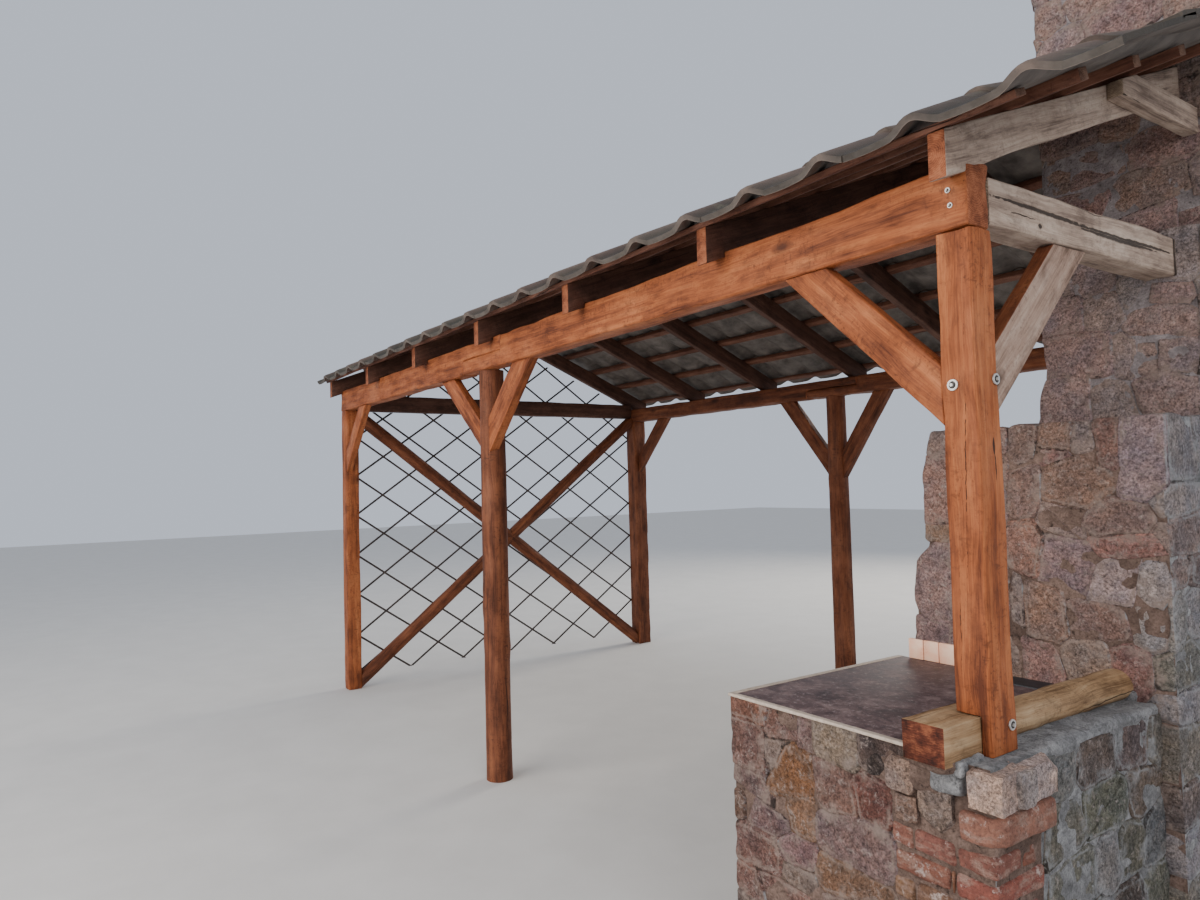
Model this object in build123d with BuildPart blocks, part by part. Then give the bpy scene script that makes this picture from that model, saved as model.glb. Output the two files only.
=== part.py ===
from build123d import *
import math
import os

# Timber-framed garden pergola with a tiled gable roof, carried at its near
# end by a stone counter and a stone stove with its chimney.
# Millimetres. +X runs along the ridge towards the stove end, -Y is the open
# front, +Z is up. The origin lies on the ground under the middle of the roof.

# Overall frame
frame_length = 5600.0
frame_width = 3047.0
far_overhang = 100.0
near_overhang = 450.0
eave_overhang = 160.0
mid_post_from_near = 2950.0

# Front posts
far_post_side = 110.0
near_post_side = 100.0
near_post_foot_depth = 122.0
mid_log_foot_diameter = 146.0
mid_log_top_diameter = 138.0
post_arris = 6.0

# Back posts
back_post_side = 140.0
back_log_foot_diameter = 156.0
back_log_top_diameter = 140.0

# Wall plates, laid on the posts
front_plate_underside = 2270.0
front_plate_depth = 165.0
front_plate_width = 100.0
back_plate_underside = 2234.0
back_plate_depth = 127.0
back_plate_width = 140.0
scarf_length = 480.0
scarf_far_length = 230.0

# Cross beams at the two ends
tie_width = 100.0
tie_depth = 135.0
near_beam_lift = 15.0
collar_width = 50.0
collar_depth = 90.0
collar_below_ridge = 197.0
collar_start_from_ridge = 725.0

# Knee braces: reach along the beam, drop down the post, depth of the plank
brace_thickness = 50.0
brace_inset = 5.0
brace_sizes = {
    "brace_front_far": (420.0, 420.0, 120.0),
    "brace_front_mid_left": (435.0, 345.0, 117.0),
    "brace_front_mid_right": (370.0, 350.0, 140.0),
    "brace_front_near": (470.0, 440.0, 120.0),
    "brace_near_end": (435.0, 420.0, 133.0),
    "brace_back_far": (410.0, 430.0, 115.0),
    "brace_back_mid_left": (405.0, 505.0, 115.0),
    "brace_back_mid_right": (365.0, 520.0, 120.0),
    "brace_back_near": (405.0, 500.0, 115.0),
}

# Crossed logs and lattice in the far end
cross_log_diameter = 105.0
cross_log_high_end = 2240.0
cross_log_low_end = 60.0
lattice_bar = 12.0
lattice_columns = 6
lattice_slope = 0.70
lattice_ground_gap = 100.0
lattice_clearance = 0.5

# Roof timbers
front_pitch = 20.8
rafter_count = 7
rafter_width = 52.0
rafter_depth = 122.0
rafter_tail_length = 90.0
birdsmouth = 22.0
batten_width = 50.0
batten_depth = 35.0
eave_batten_depth = 20.0
batten_gauge = 335.0
ridge_batten_gap = 4.0
batten_near_overhang = 190.0
batten_far_overhang = 90.0

# Tile covering: courses of flat pans with a roll at each joint
tile_pitch = 300.0
first_roll_from_near = 200.0
roll_width = 156.0
roll_height = 31.0
tile_thickness = 14.0
tile_lift = 10.0
course_lap = 80.0
tile_clearance = 0.05
ridge_gap = 5.0
ridge_cap_leg = 130.0
ridge_cap_thickness = 16.0
cap_clearance = 0.5
flashing_gap = 15.0

# Stone counter
counter_length = 870.0
counter_proud = 80.0
wall_outer_proud = 40.0
front_wall_thickness = 250.0
side_wall_thickness = 230.0
wall_top = 890.0
slab_thickness = 30.0
slab_rise = 10.0
slab_overhang = 12.0

# Sill timber under the near post
sill_width = 120.0
sill_height = 100.0
sill_front_reach = 160.0
sill_log_diameter = 106.0
sill_log_far_diameter = 110.0
sill_skew = 14.0
post_lap = 30.0

# Stove, breast and chimney
stove_depth = 1030.0
stove_left_foot = 800.0
stove_left_top = 660.0
stove_height = 1780.0
masonry_near_proud = 95.0
stack_left = 500.0
stack_behind_ridge = 336.0
stack_depth = 500.0
breast_depth = 600.0
breast_top = 2450.0
chimney_height = 3850.0
flue_side = 200.0
flue_depth = 500.0

# Places worked out from the sizes above
roof_length = frame_length + near_overhang + far_overhang
x_near = roof_length / 2 - near_overhang
x_far = x_near - frame_length
x_mid = x_near - mid_post_from_near
y_front = -frame_width / 2
y_back = frame_width / 2
half_width = frame_width / 2
front_plate_top = front_plate_underside + front_plate_depth
back_plate_top = back_plate_underside + back_plate_depth
y_front_inner = y_front + front_plate_width
y_back_inner = y_back - back_plate_width

front_slope = math.tan(math.radians(front_pitch))
ridge_underside = front_plate_top - birdsmouth + front_slope * half_width
back_slope = (ridge_underside - back_plate_top + birdsmouth) / half_width

y_masonry_back = stack_behind_ridge
y_stack = y_masonry_back - stack_depth
y_breast = y_masonry_back - breast_depth
y_stove = y_masonry_back - stove_depth
x_masonry = x_near + masonry_near_proud
x_stack = x_near - stack_left

os.makedirs("parts", exist_ok=True)


def write(piece, label):
    """Labels a finished piece and writes it under its own name."""
    piece.part.label = label
    export_step(piece.part, f"parts/{label}.step")


def slope_of(side):
    """Rise per unit of run of the roof slope on the front (-1) or back (+1)."""
    return front_slope if side < 0 else back_slope


def underside(side, reach):
    """Height of the rafters' underside at a distance from the ridge."""
    return ridge_underside - slope_of(side) * reach


def square_to_slope(side, thickness):
    """Vertical height of a layer whose thickness is square to the slope."""
    return thickness * math.hypot(1.0, slope_of(side))


def box_between(x0, x1, y0, y1, z0, z1):
    """Adds a plain block between two corners to the piece being built."""
    with Locations(((x0 + x1) / 2, (y0 + y1) / 2, (z0 + z1) / 2)):
        Box(x1 - x0, y1 - y0, z1 - z0)


# Front posts: a square far post, a round log in the middle, and a hewn near post
# whose outer half laps down beside the sill timber
with BuildPart() as post_front_far:
    box_between(x_far, x_far + far_post_side, y_front, y_front + far_post_side, 0, front_plate_underside)
    chamfer(post_front_far.edges().filter_by(Axis.Z), post_arris)
write(post_front_far, "post_front_far")

y_mid_log = y_front + mid_log_foot_diameter / 2
with BuildPart() as post_front_mid:
    with BuildSketch(Plane.XY):
        with Locations((x_mid, y_mid_log)):
            Circle(mid_log_foot_diameter / 2)
    with BuildSketch(Plane.XY.offset(front_plate_underside)):
        with Locations((x_mid, y_mid_log)):
            Circle(mid_log_top_diameter / 2)
    loft()
write(post_front_mid, "post_front_mid")

x_lap = x_near - post_lap
sill_top = wall_top + sill_height
y_post_foot = y_front + near_post_foot_depth
with BuildPart() as post_front_near:
    with BuildSketch(Plane.YZ.offset(x_near - near_post_side)):
        with BuildLine():
            Polyline([(y_front, wall_top),
                      (y_post_foot, wall_top),
                      (y_front + near_post_side, front_plate_underside),
                      (y_front, front_plate_underside)], close=True)
        make_face()
    extrude(amount=near_post_side)
    tall = post_front_near.edges().filter_by(Axis.Z).group_by(Axis.X)
    chamfer(tall[-1], post_arris)
    with Locations((x_lap - near_post_side, y_front, (wall_top + sill_top) / 2)):
        Box(2 * near_post_side, 4 * near_post_side, sill_height, mode=Mode.SUBTRACT)
write(post_front_near, "post_front_near")

# Back posts: square at both ends of the plate, a round log in the middle
with BuildPart() as post_back_far:
    box_between(x_far, x_far + back_post_side, y_back_inner, y_back, 0, back_plate_underside)
    chamfer(post_back_far.edges().filter_by(Axis.Z), post_arris)
write(post_back_far, "post_back_far")

y_back_log = y_back - back_plate_width / 2
with BuildPart() as post_back_mid:
    with BuildSketch(Plane.XY):
        with Locations((x_mid, y_back_log)):
            Circle(back_log_foot_diameter / 2)
    with BuildSketch(Plane.XY.offset(back_plate_underside)):
        with Locations((x_mid, y_back_log)):
            Circle(back_log_top_diameter / 2)
    loft()
write(post_back_mid, "post_back_mid")

with BuildPart() as post_back_near:
    box_between(x_near - back_post_side, x_near, y_back_inner, y_back, 0, back_plate_underside)
    chamfer(post_back_near.edges().filter_by(Axis.Z), post_arris)
write(post_back_near, "post_back_near")

# Wall plates, each in two lengths halved together over the middle post
scarf_far = x_mid - scarf_far_length
scarf_near = scarf_far + scarf_length
for row, y0, y1, bottom, depth in (
        ("front", y_front, y_front_inner, front_plate_underside, front_plate_depth),
        ("back", y_back_inner, y_back, back_plate_underside, back_plate_depth)):
    middle = bottom + depth / 2
    with BuildPart() as plate_far:
        box_between(x_far, scarf_far, y0, y1, bottom, bottom + depth)
        box_between(scarf_far, scarf_near, y0, y1, middle, bottom + depth)
    write(plate_far, f"plate_{row}_far")
    with BuildPart() as plate_near:
        box_between(scarf_near, x_near, y0, y1, bottom, bottom + depth)
        box_between(scarf_far, scarf_near, y0, y1, bottom, middle)
    write(plate_near, f"plate_{row}_near")

# Tie beam between the plates at the far end, and the near-end beam in two
# lengths, from the front plate into the breast and on from the back of the
# masonry to the back plate; an end that meets the back rafters is cut to them
near_beam_bottom = front_plate_underside + near_beam_lift
for label, x0, y0, y1, bottom in (
        ("tie_beam_far", x_far, y_front_inner, y_back_inner, front_plate_underside),
        ("beam_near_front", x_near - tie_width, y_front_inner, y_breast, near_beam_bottom),
        ("beam_near_back", x_near - tie_width, y_masonry_back, y_back_inner, near_beam_bottom)):
    top = bottom + tie_depth
    with BuildPart() as beam:
        with BuildSketch(Plane.YZ.offset(x0)):
            with BuildLine():
                if underside(1, y1) < top:
                    Polyline([(y0, bottom), (y1, bottom), (y1, underside(1, y1)),
                              ((ridge_underside - top) / back_slope, top), (y0, top)], close=True)
                else:
                    Polyline([(y0, bottom), (y1, bottom), (y1, top), (y0, top)], close=True)
            make_face()
        extrude(amount=tie_width)
    write(beam, label)


def brace_outline(label, start):
    """Side view of a plank brace: (run out, height below the beam) corners."""
    run, drop, depth = brace_sizes[label]
    length = math.hypot(run, drop)
    half_upright = depth / 2 * length / run
    half_level = depth / 2 * length / drop
    rise = drop / run
    return ((start, -drop - half_upright + rise * start),
            (start, -drop + half_upright + rise * start),
            (run - half_level, 0),
            (run + half_level, 0))


def brace_along_x(label, post_face, direction, y0, beam_bottom, log=None):
    """Writes a knee brace lying along X; a log trims its foot to a round seat."""
    start = -mid_log_foot_diameter / 4 if log else 0
    with BuildPart() as brace:
        with BuildSketch(Plane((0, y0, 0), x_dir=(1, 0, 0), z_dir=(0, -1, 0))):
            with BuildLine():
                Polyline([(post_face + direction * s, beam_bottom + h)
                          for s, h in brace_outline(label, start)], close=True)
            make_face()
        extrude(amount=-brace_thickness)
        if log:
            add(log.part, mode=Mode.SUBTRACT)
    write(brace, label)


y_front_brace = y_front + brace_inset
y_mid_brace = y_front + (front_plate_width - brace_thickness) / 2
y_back_brace = y_back_log - brace_thickness / 2
mid_log_radius = mid_log_top_diameter / 2
back_log_radius = back_log_top_diameter / 2

brace_along_x("brace_front_far", x_far + far_post_side, 1, y_front_brace, front_plate_underside)
brace_along_x("brace_front_mid_left", x_mid - mid_log_radius, -1, y_mid_brace,
              front_plate_underside, post_front_mid)
brace_along_x("brace_front_mid_right", x_mid + mid_log_radius, 1, y_mid_brace,
              front_plate_underside, post_front_mid)
brace_along_x("brace_front_near", x_near - near_post_side, -1, y_front_brace, front_plate_underside)
brace_along_x("brace_back_far", x_far + back_post_side, 1, y_back_brace, back_plate_underside)
brace_along_x("brace_back_mid_left", x_mid - back_log_radius, -1, y_back_brace,
              back_plate_underside, post_back_mid)
brace_along_x("brace_back_mid_right", x_mid + back_log_radius, 1, y_back_brace,
              back_plate_underside, post_back_mid)
brace_along_x("brace_back_near", x_near - back_post_side, -1, y_back_brace, back_plate_underside)

# Brace from the near post to the near-end beam, close to their outer face, its
# foot cut to the leaning back of the post
with BuildPart() as brace_near_end:
    with BuildSketch(Plane.YZ.offset(x_near - brace_inset)):
        with BuildLine():
            Polyline([(y_front + near_post_side + s, near_beam_bottom + h)
                      for s, h in brace_outline("brace_near_end", 0)], close=True)
        make_face()
    extrude(amount=-brace_thickness)
    add(post_front_near.part, mode=Mode.SUBTRACT)
write(brace_near_end, "brace_near_end")

# Crossed logs that stiffen the far end, halved where they cross
x_cross = x_far + lattice_bar + lattice_clearance + cross_log_diameter / 2
y_cross_front = y_front + far_post_side
far_bay = y_back_inner - y_cross_front


def cross_log(z_front, z_back):
    """A log from the front far post to the back far post, cut to the bay."""
    run = Vector(0, far_bay, z_back - z_front)
    middle = Vector(x_cross, y_cross_front + far_bay / 2, (z_front + z_back) / 2)
    log = Plane(middle, z_dir=run) * Cylinder(cross_log_diameter / 2, run.length + 4 * cross_log_diameter)
    bay = Pos(x_cross, y_cross_front + far_bay / 2, front_plate_underside / 2) * Box(
        2 * cross_log_diameter, far_bay, front_plate_underside)
    return log & bay


falling_log = cross_log(cross_log_high_end, cross_log_low_end)
rising_log = cross_log(cross_log_low_end, cross_log_high_end)
outer_half = Pos(x_cross - cross_log_diameter, y_cross_front + far_bay / 2, front_plate_underside / 2) * Box(
    2 * cross_log_diameter, far_bay, front_plate_underside)

with BuildPart() as cross_log_falling:
    add(falling_log)
    add(rising_log & outer_half, mode=Mode.SUBTRACT)
write(cross_log_falling, "cross_log_falling")

with BuildPart() as cross_log_rising:
    add(rising_log)
    add(falling_log - outer_half, mode=Mode.SUBTRACT)
write(cross_log_rising, "cross_log_rising")


def lattice(label, corners):
    """Diamond lattice of square bars, fused at the crossings, inside an outline."""
    low_y = min(y for y, z in corners)
    high_y = max(y for y, z in corners)
    base = min(z for y, z in corners)
    top = max(z for y, z in corners)
    step = (high_y - low_y) / lattice_columns
    lean = (top - base) / lattice_slope
    before = math.ceil(lean / step)
    half_level = lattice_bar / 2 * math.hypot(1.0, lattice_slope) / lattice_slope
    with BuildPart() as panel:
        with BuildSketch(Plane.YZ.offset(x_far)):
            for k in range(-before, lattice_columns + before + 1):
                foot = low_y + k * step
                for head in (foot + lean, foot - lean):
                    with BuildLine():
                        Polyline([(foot - half_level, base), (foot + half_level, base),
                                  (head + half_level, top), (head - half_level, top)], close=True)
                    make_face()
            with BuildSketch(mode=Mode.INTERSECT):
                with BuildLine():
                    Polyline(list(corners), close=True)
                make_face()
        extrude(amount=lattice_bar)
    with BuildPart() as joined:
        add(panel.solids().sort_by(SortBy.VOLUME)[-1])
    write(joined, label)


lattice("lattice_lower", ((y_cross_front, lattice_ground_gap),
                          (y_back_inner, lattice_ground_gap),
                          (y_back_inner, front_plate_underside),
                          (y_cross_front, front_plate_underside)))

tie_top = front_plate_underside + tie_depth
lattice("lattice_gable", ((y_front_inner, tie_top),
                          (min(y_back_inner, (ridge_underside - tie_top) / back_slope), tie_top),
                          (0, ridge_underside),
                          (y_front_inner, underside(-1, -y_front_inner))))


# Rafters with plumb tails, seated on the plates by shallow birdsmouths
def rafter_outline(side, start):
    """Side view of a rafter as (y, z) corners, from its upper end to its tail."""
    plate_top = front_plate_top if side < 0 else back_plate_top
    deep = square_to_slope(side, rafter_depth)
    tail = half_width + rafter_tail_length
    return [(side * reach, height) for reach, height in (
        (start, underside(side, start)),
        (start, underside(side, start) + deep),
        (tail, underside(side, tail) + deep),
        (tail, underside(side, tail)),
        (half_width, underside(side, half_width)),
        (half_width, plate_top),
        (half_width - birdsmouth / slope_of(side), plate_top))]


rafter_spacing = (frame_length - rafter_width) / (rafter_count - 1)
for side, label in ((-1, "rafters_front"), (1, "rafters_back")):
    with BuildPart() as rafters:
        for k in range(rafter_count):
            at_stack = k == rafter_count - 1
            start = abs(y_stack if side < 0 else y_masonry_back) if at_stack else 0
            with BuildSketch(Plane.YZ.offset(x_far + k * rafter_spacing)):
                with BuildLine():
                    Polyline(rafter_outline(side, start), close=True)
                make_face()
            extrude(amount=rafter_width)
    write(rafters, label)

# Collar on the outer face of the near rafter, running into the chimney; its
# upper corner follows the rafter's top edge
collar_underside = ridge_underside - collar_below_ridge
collar_top = collar_underside + collar_depth
rafter_top_at_ridge = ridge_underside + square_to_slope(-1, rafter_depth)
collar_corner_reach = (rafter_top_at_ridge - collar_top) / front_slope
with BuildPart() as collar_near:
    with BuildSketch(Plane.YZ.offset(x_near)):
        with BuildLine():
            Polyline([(-collar_start_from_ridge, collar_underside),
                      (-collar_start_from_ridge, rafter_top_at_ridge - front_slope * collar_start_from_ridge),
                      (-collar_corner_reach, collar_top),
                      (y_stack, collar_top),
                      (y_stack, collar_underside)], close=True)
        make_face()
    extrude(amount=collar_width)
write(collar_near, "collar_near")

# Battens across the rafters; the rows that meet the chimney stop beside it
batten_start = x_far - batten_far_overhang
batten_end = x_near + batten_near_overhang
stack_side_stop = x_stack - flashing_gap
for side, label in ((-1, "battens_front"), (1, "battens_back")):
    stretch = math.hypot(1.0, slope_of(side))
    slope_length = (half_width + rafter_tail_length) * stretch
    rows = int((slope_length - batten_gauge / 2) / batten_gauge) + 1
    low_reaches = [half_width + rafter_tail_length - k * batten_gauge / stretch for k in range(rows)]
    low_reaches.append(ridge_batten_gap + batten_width / stretch)
    stack_reach = abs(y_stack if side < 0 else y_masonry_back) + flashing_gap
    with BuildPart() as battens:
        for k, low_reach in enumerate(low_reaches):
            high_reach = low_reach - batten_width / stretch
            low_z = underside(side, low_reach) + square_to_slope(side, rafter_depth)
            high_z = underside(side, high_reach) + square_to_slope(side, rafter_depth)
            depth = eave_batten_depth if k == 0 else batten_depth
            out = depth * slope_of(side) / stretch
            up = depth / stretch
            end = batten_end if high_reach > stack_reach else stack_side_stop
            with BuildSketch(Plane.YZ.offset(batten_start)):
                with BuildLine():
                    Polyline([(side * low_reach, low_z),
                              (side * high_reach, high_z),
                              (side * (high_reach + out), high_z + up),
                              (side * (low_reach + out), low_z + up)], close=True)
                make_face()
            extrude(amount=end - batten_start)
    write(battens, label)

# Tile covering of each slope: courses of rolled tiles, each course lying on the
# head of the one below, fused into one sheet with a notch round the chimney
roll_count = int((roof_length - first_roll_from_near - roll_width / 2) / tile_pitch) + 1
course_count = {}
roll_shape = ((-0.5, 0.0), (-0.3, 0.36), (-0.1, 0.93), (0.1, 0.93), (0.3, 0.36), (0.5, 0.0))


def bed_height(side, reach):
    """Height of the battens' upper face at a distance from the ridge."""
    return underside(side, reach) + square_to_slope(side, rafter_depth + batten_depth)


def tile_line(lift):
    """Points across the roof, flat in the pans and raised over the rolls."""
    points = [(-roof_length / 2, lift)]
    for k in range(roll_count - 1, -1, -1):
        centre = roof_length / 2 - first_roll_from_near - k * tile_pitch
        points += [(centre + across * roll_width, lift + up * roll_height) for across, up in roll_shape]
    return points + [(roof_length / 2, lift)]


for side, label in ((-1, "roof_front"), (1, "roof_back")):
    eave = half_width + eave_overhang
    stretch = math.hypot(1.0, slope_of(side))
    slope_length = eave * stretch
    overhang_length = (eave_overhang - rafter_tail_length) * stretch - batten_depth * slope_of(side)
    eave_sink = batten_depth - eave_batten_depth
    courses = course_count[side] = int((slope_length - ridge_cap_leg * stretch) / batten_gauge - 0.1) + 1
    with BuildPart() as sheet:
        for k in range(courses):
            if k == 0:
                start = tile_clearance - eave_sink * (1 + overhang_length / batten_gauge)
                rise = eave_sink / batten_gauge
            else:
                start = tile_lift
                rise = (tile_clearance - tile_lift) / (batten_gauge + course_lap)
            length = batten_gauge + course_lap
            if k == courses - 1:
                rise = -tile_lift / (slope_length - k * batten_gauge)
                length = slope_length - k * batten_gauge + roll_height + tile_thickness
            reach = eave - k * batten_gauge / stretch
            tilt = math.hypot(1.0, rise)
            up_slope = (0, -side * (1 - rise * slope_of(side)) / stretch / tilt,
                        (slope_of(side) + rise) / stretch / tilt)
            with BuildSketch(Plane((0, side * reach, bed_height(side, reach)), x_dir=(side, 0, 0),
                                   z_dir=up_slope)):
                with BuildLine():
                    Polyline([(side * x, y) for x, y in tile_line(start)
                              + tile_line(start + tile_thickness)[::-1]], close=True)
                make_face()
            extrude(amount=length)
        split(bisect_by=Plane.XZ.offset(-side * ridge_gap), keep=Keep.TOP if side < 0 else Keep.BOTTOM)
        with Locations(((x_stack + x_masonry) / 2, (y_stack + y_masonry_back) / 2, ridge_underside)):
            Box(x_masonry - x_stack + 2 * flashing_gap, y_masonry_back - y_stack + 2 * flashing_gap,
                frame_width, mode=Mode.SUBTRACT)
    write(sheet, label)

# Ridge cap: a folded strip over the rolls of both slopes, stopped against each
# side of the chimney
cap_seat = {}
for side in (-1, 1):
    stretch = math.hypot(1.0, slope_of(side))
    last_length = (half_width + eave_overhang) * stretch - (course_count[side] - 1) * batten_gauge
    lift_at_leg = tile_lift * ridge_cap_leg * stretch / last_length
    cap_seat[side] = bed_height(side, 0) + square_to_slope(
        side, roll_height + tile_thickness + lift_at_leg + cap_clearance)
cap_peak = max(cap_seat.values())
with BuildPart() as ridge_cap:
    for x0, x1 in ((-roof_length / 2, x_stack), (x_masonry, roof_length / 2)):
        with BuildSketch(Plane.YZ.offset(x0)):
            with BuildLine():
                Polyline([(-ridge_cap_leg, cap_peak - front_slope * ridge_cap_leg),
                          (0, cap_peak),
                          (ridge_cap_leg, cap_peak - back_slope * ridge_cap_leg),
                          (ridge_cap_leg, cap_peak - back_slope * ridge_cap_leg + ridge_cap_thickness),
                          (0, cap_peak + ridge_cap_thickness),
                          (-ridge_cap_leg, cap_peak - front_slope * ridge_cap_leg + ridge_cap_thickness)],
                         close=True)
            make_face()
        extrude(amount=x1 - x0)
write(ridge_cap, "ridge_cap")

# Stone counter: three walls in bond, closed by the stove behind, under a slab
y_counter = y_front - counter_proud
x_wall_outer = x_near + wall_outer_proud
x_near_wall = x_wall_outer - side_wall_thickness
x_counter_far = x_near - counter_length
slab_top = wall_top + slab_rise
slab_bed = slab_top - slab_thickness

with BuildPart() as counter_wall_near:
    box_between(x_near_wall, x_wall_outer, y_counter, y_stove, 0, wall_top)
write(counter_wall_near, "counter_wall_near")

with BuildPart() as counter_wall_front:
    box_between(x_counter_far, x_near_wall, y_counter, y_counter + front_wall_thickness, 0, slab_bed)
write(counter_wall_front, "counter_wall_front")

with BuildPart() as counter_wall_far:
    box_between(x_counter_far, x_counter_far + side_wall_thickness,
                y_counter + front_wall_thickness, y_stove, 0, slab_bed)
write(counter_wall_far, "counter_wall_far")

with BuildPart() as counter_slab:
    box_between(x_counter_far - slab_overhang, x_near_wall, y_counter - slab_overhang, y_stove,
                slab_bed, slab_top)
write(counter_slab, "counter_slab")

# Sill timber: squared in front and under the post, left round behind it, with
# its far end let up to the stove
x_sill = x_lap - sill_width / 2
y_sill_round = y_post_foot
with BuildPart() as sill_timber:
    box_between(x_lap - sill_width, x_lap, y_front - sill_front_reach, y_sill_round, wall_top, sill_top)
    with BuildSketch(Plane.XZ.offset(-y_sill_round)):
        with Locations((x_sill, wall_top + sill_log_diameter / 2)):
            Circle(sill_log_diameter / 2)
    with BuildSketch(Plane.XZ.offset(-y_stove)):
        with Locations((x_sill + sill_skew, wall_top + sill_log_far_diameter / 2)):
            Circle(sill_log_far_diameter / 2)
    loft()
write(sill_timber, "sill_timber")

# Stove: a battered mass of stone, its left flank leaning in as it rises
with BuildPart() as stove_body:
    with BuildSketch(Plane.XZ.offset(-y_stove)):
        with BuildLine():
            Polyline([(x_near - stove_left_foot, 0),
                      (x_masonry, 0),
                      (x_masonry, stove_height),
                      (x_near - stove_left_top, stove_height),
                      (x_near - stove_left_foot, wall_top + slab_rise)], close=True)
        make_face()
    extrude(amount=-(y_masonry_back - y_stove))
write(stove_body, "stove_body")

# Breast above the ledge, and the stack that goes on through the roof
with BuildPart() as chimney_breast:
    box_between(x_stack, x_masonry, y_breast, y_masonry_back, stove_height, breast_top)
write(chimney_breast, "chimney_breast")

with BuildPart() as chimney_stack:
    box_between(x_stack, x_masonry, y_stack, y_masonry_back, breast_top, chimney_height)
    with Locations(((x_stack + x_masonry) / 2, (y_stack + y_masonry_back) / 2, chimney_height)):
        Box(flue_side, flue_side, 2 * flue_depth, mode=Mode.SUBTRACT)
write(chimney_stack, "chimney_stack")
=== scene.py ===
import math
import random

import bmesh
import bpy
from mathutils import Matrix, Vector, noise
from mathutils.bvhtree import BVHTree


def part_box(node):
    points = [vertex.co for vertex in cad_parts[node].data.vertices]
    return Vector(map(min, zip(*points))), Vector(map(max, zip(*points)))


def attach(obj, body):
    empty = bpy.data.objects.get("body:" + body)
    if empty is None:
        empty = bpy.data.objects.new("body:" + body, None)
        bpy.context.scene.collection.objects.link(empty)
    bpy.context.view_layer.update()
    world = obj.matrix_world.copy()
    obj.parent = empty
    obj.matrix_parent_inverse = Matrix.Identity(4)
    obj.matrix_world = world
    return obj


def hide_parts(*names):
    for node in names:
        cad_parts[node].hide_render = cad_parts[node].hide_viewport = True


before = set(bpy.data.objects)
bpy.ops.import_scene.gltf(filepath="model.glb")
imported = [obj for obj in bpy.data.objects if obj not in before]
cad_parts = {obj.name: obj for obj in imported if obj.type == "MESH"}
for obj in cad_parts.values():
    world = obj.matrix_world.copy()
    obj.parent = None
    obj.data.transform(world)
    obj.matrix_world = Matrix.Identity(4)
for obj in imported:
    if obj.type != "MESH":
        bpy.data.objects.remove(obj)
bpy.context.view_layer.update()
draw = random.Random(41)

ACROSS = Vector((1, 0, 0))
DEEP = Vector((0, 1, 0))
UP = Vector((0, 0, 1))

X_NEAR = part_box("post_front_near")[1].x
Y_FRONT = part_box("post_front_near")[0].y
Y_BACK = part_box("plate_back_far")[1].y


# Finishes

def put(tree, kind, inputs=None, **settings):
    """Adds a shader node, with its settings and its inputs' values or links."""
    made = tree.nodes.new(kind)
    for key, value in settings.items():
        setattr(made, key, value)
    for key, value in (inputs or {}).items():
        if isinstance(value, bpy.types.NodeSocket):
            tree.links.new(value, made.inputs[key])
        else:
            made.inputs[key].default_value = value
    return made


def sums(tree, operation, a, b=0.5, c=0.0):
    """A Math node's result."""
    return put(tree, "ShaderNodeMath", {0: a, 1: b, 2: c}, operation=operation).outputs[0]


def times(tree, a, b):
    """Two values multiplied."""
    return sums(tree, "MULTIPLY", a, b)


def plus(tree, a, b):
    """Two values added up."""
    return sums(tree, "ADD", a, b)


def minus(tree, a, b):
    """One value less another."""
    return sums(tree, "SUBTRACT", a, b)


def weighed(tree, *parts):
    """The sum of several values, each times its weight."""
    value, weight = parts[-1]
    total = times(tree, value, weight)
    for value, weight in parts[-2::-1]:
        total = plus(tree, times(tree, value, weight), total)
    return total


def vectors(tree, operation, a, b, result="Vector"):
    """A Vector Math node's result."""
    return put(tree, "ShaderNodeVectorMath", {0: a, 1: b}, operation=operation).outputs[result]


def stretched(tree, vector, scale):
    """The same place, with each axis taken times its own number."""
    return vectors(tree, "MULTIPLY", vector, scale)


def pushed(tree, place, swirl, reach):
    """A place pushed aside by a swirl of colours."""
    return put(tree, "ShaderNodeVectorMath", {0: swirl, 1: (reach, reach, reach), 2: place},
               operation="MULTIPLY_ADD").outputs["Vector"]


def object_place(tree):
    """The place on the object."""
    return put(tree, "ShaderNodeTexCoord").outputs["Object"]


def attribute(tree, name, output):
    """A value that the mesh carries."""
    return put(tree, "ShaderNodeAttribute", attribute_name=name).outputs[output]


def facing(tree, axis):
    """How far the surface looks along an axis: 1 along it, -1 against it."""
    normal = put(tree, "ShaderNodeNewGeometry").outputs["Normal"]
    return put(tree, "ShaderNodeSeparateXYZ", {0: normal}).outputs[axis]


def clouds(tree, vector, scale, detail=4.0, roughness=0.55, distortion=0.0):
    """Cloudy values round a half."""
    return put(tree, "ShaderNodeTexNoise", {"Vector": vector, "Scale": scale, "Detail": detail,
                                            "Roughness": roughness, "Distortion": distortion}).outputs["Fac"]


def streaky(tree, vector, scale, detail=4.0, roughness=0.55, distortion=0.0):
    """Cloudy values drawn out along the axes."""
    return clouds(tree, stretched(tree, vector, scale), 1.0, detail, roughness, distortion)


def ramp(tree, value, stops, smooth=False):
    """Colours along a value; a single number stands for a grey."""
    made = put(tree, "ShaderNodeValToRGB", {"Fac": value})
    made.color_ramp.interpolation = "EASE" if smooth else "LINEAR"
    while len(made.color_ramp.elements) < len(stops):
        made.color_ramp.elements.new(0.5)
    for element, (place, colour) in zip(made.color_ramp.elements, stops):
        element.position = place
        element.color = (*colour, 1) if isinstance(colour, tuple) else (colour, colour, colour, 1)
    return made.outputs["Color"]


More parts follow.
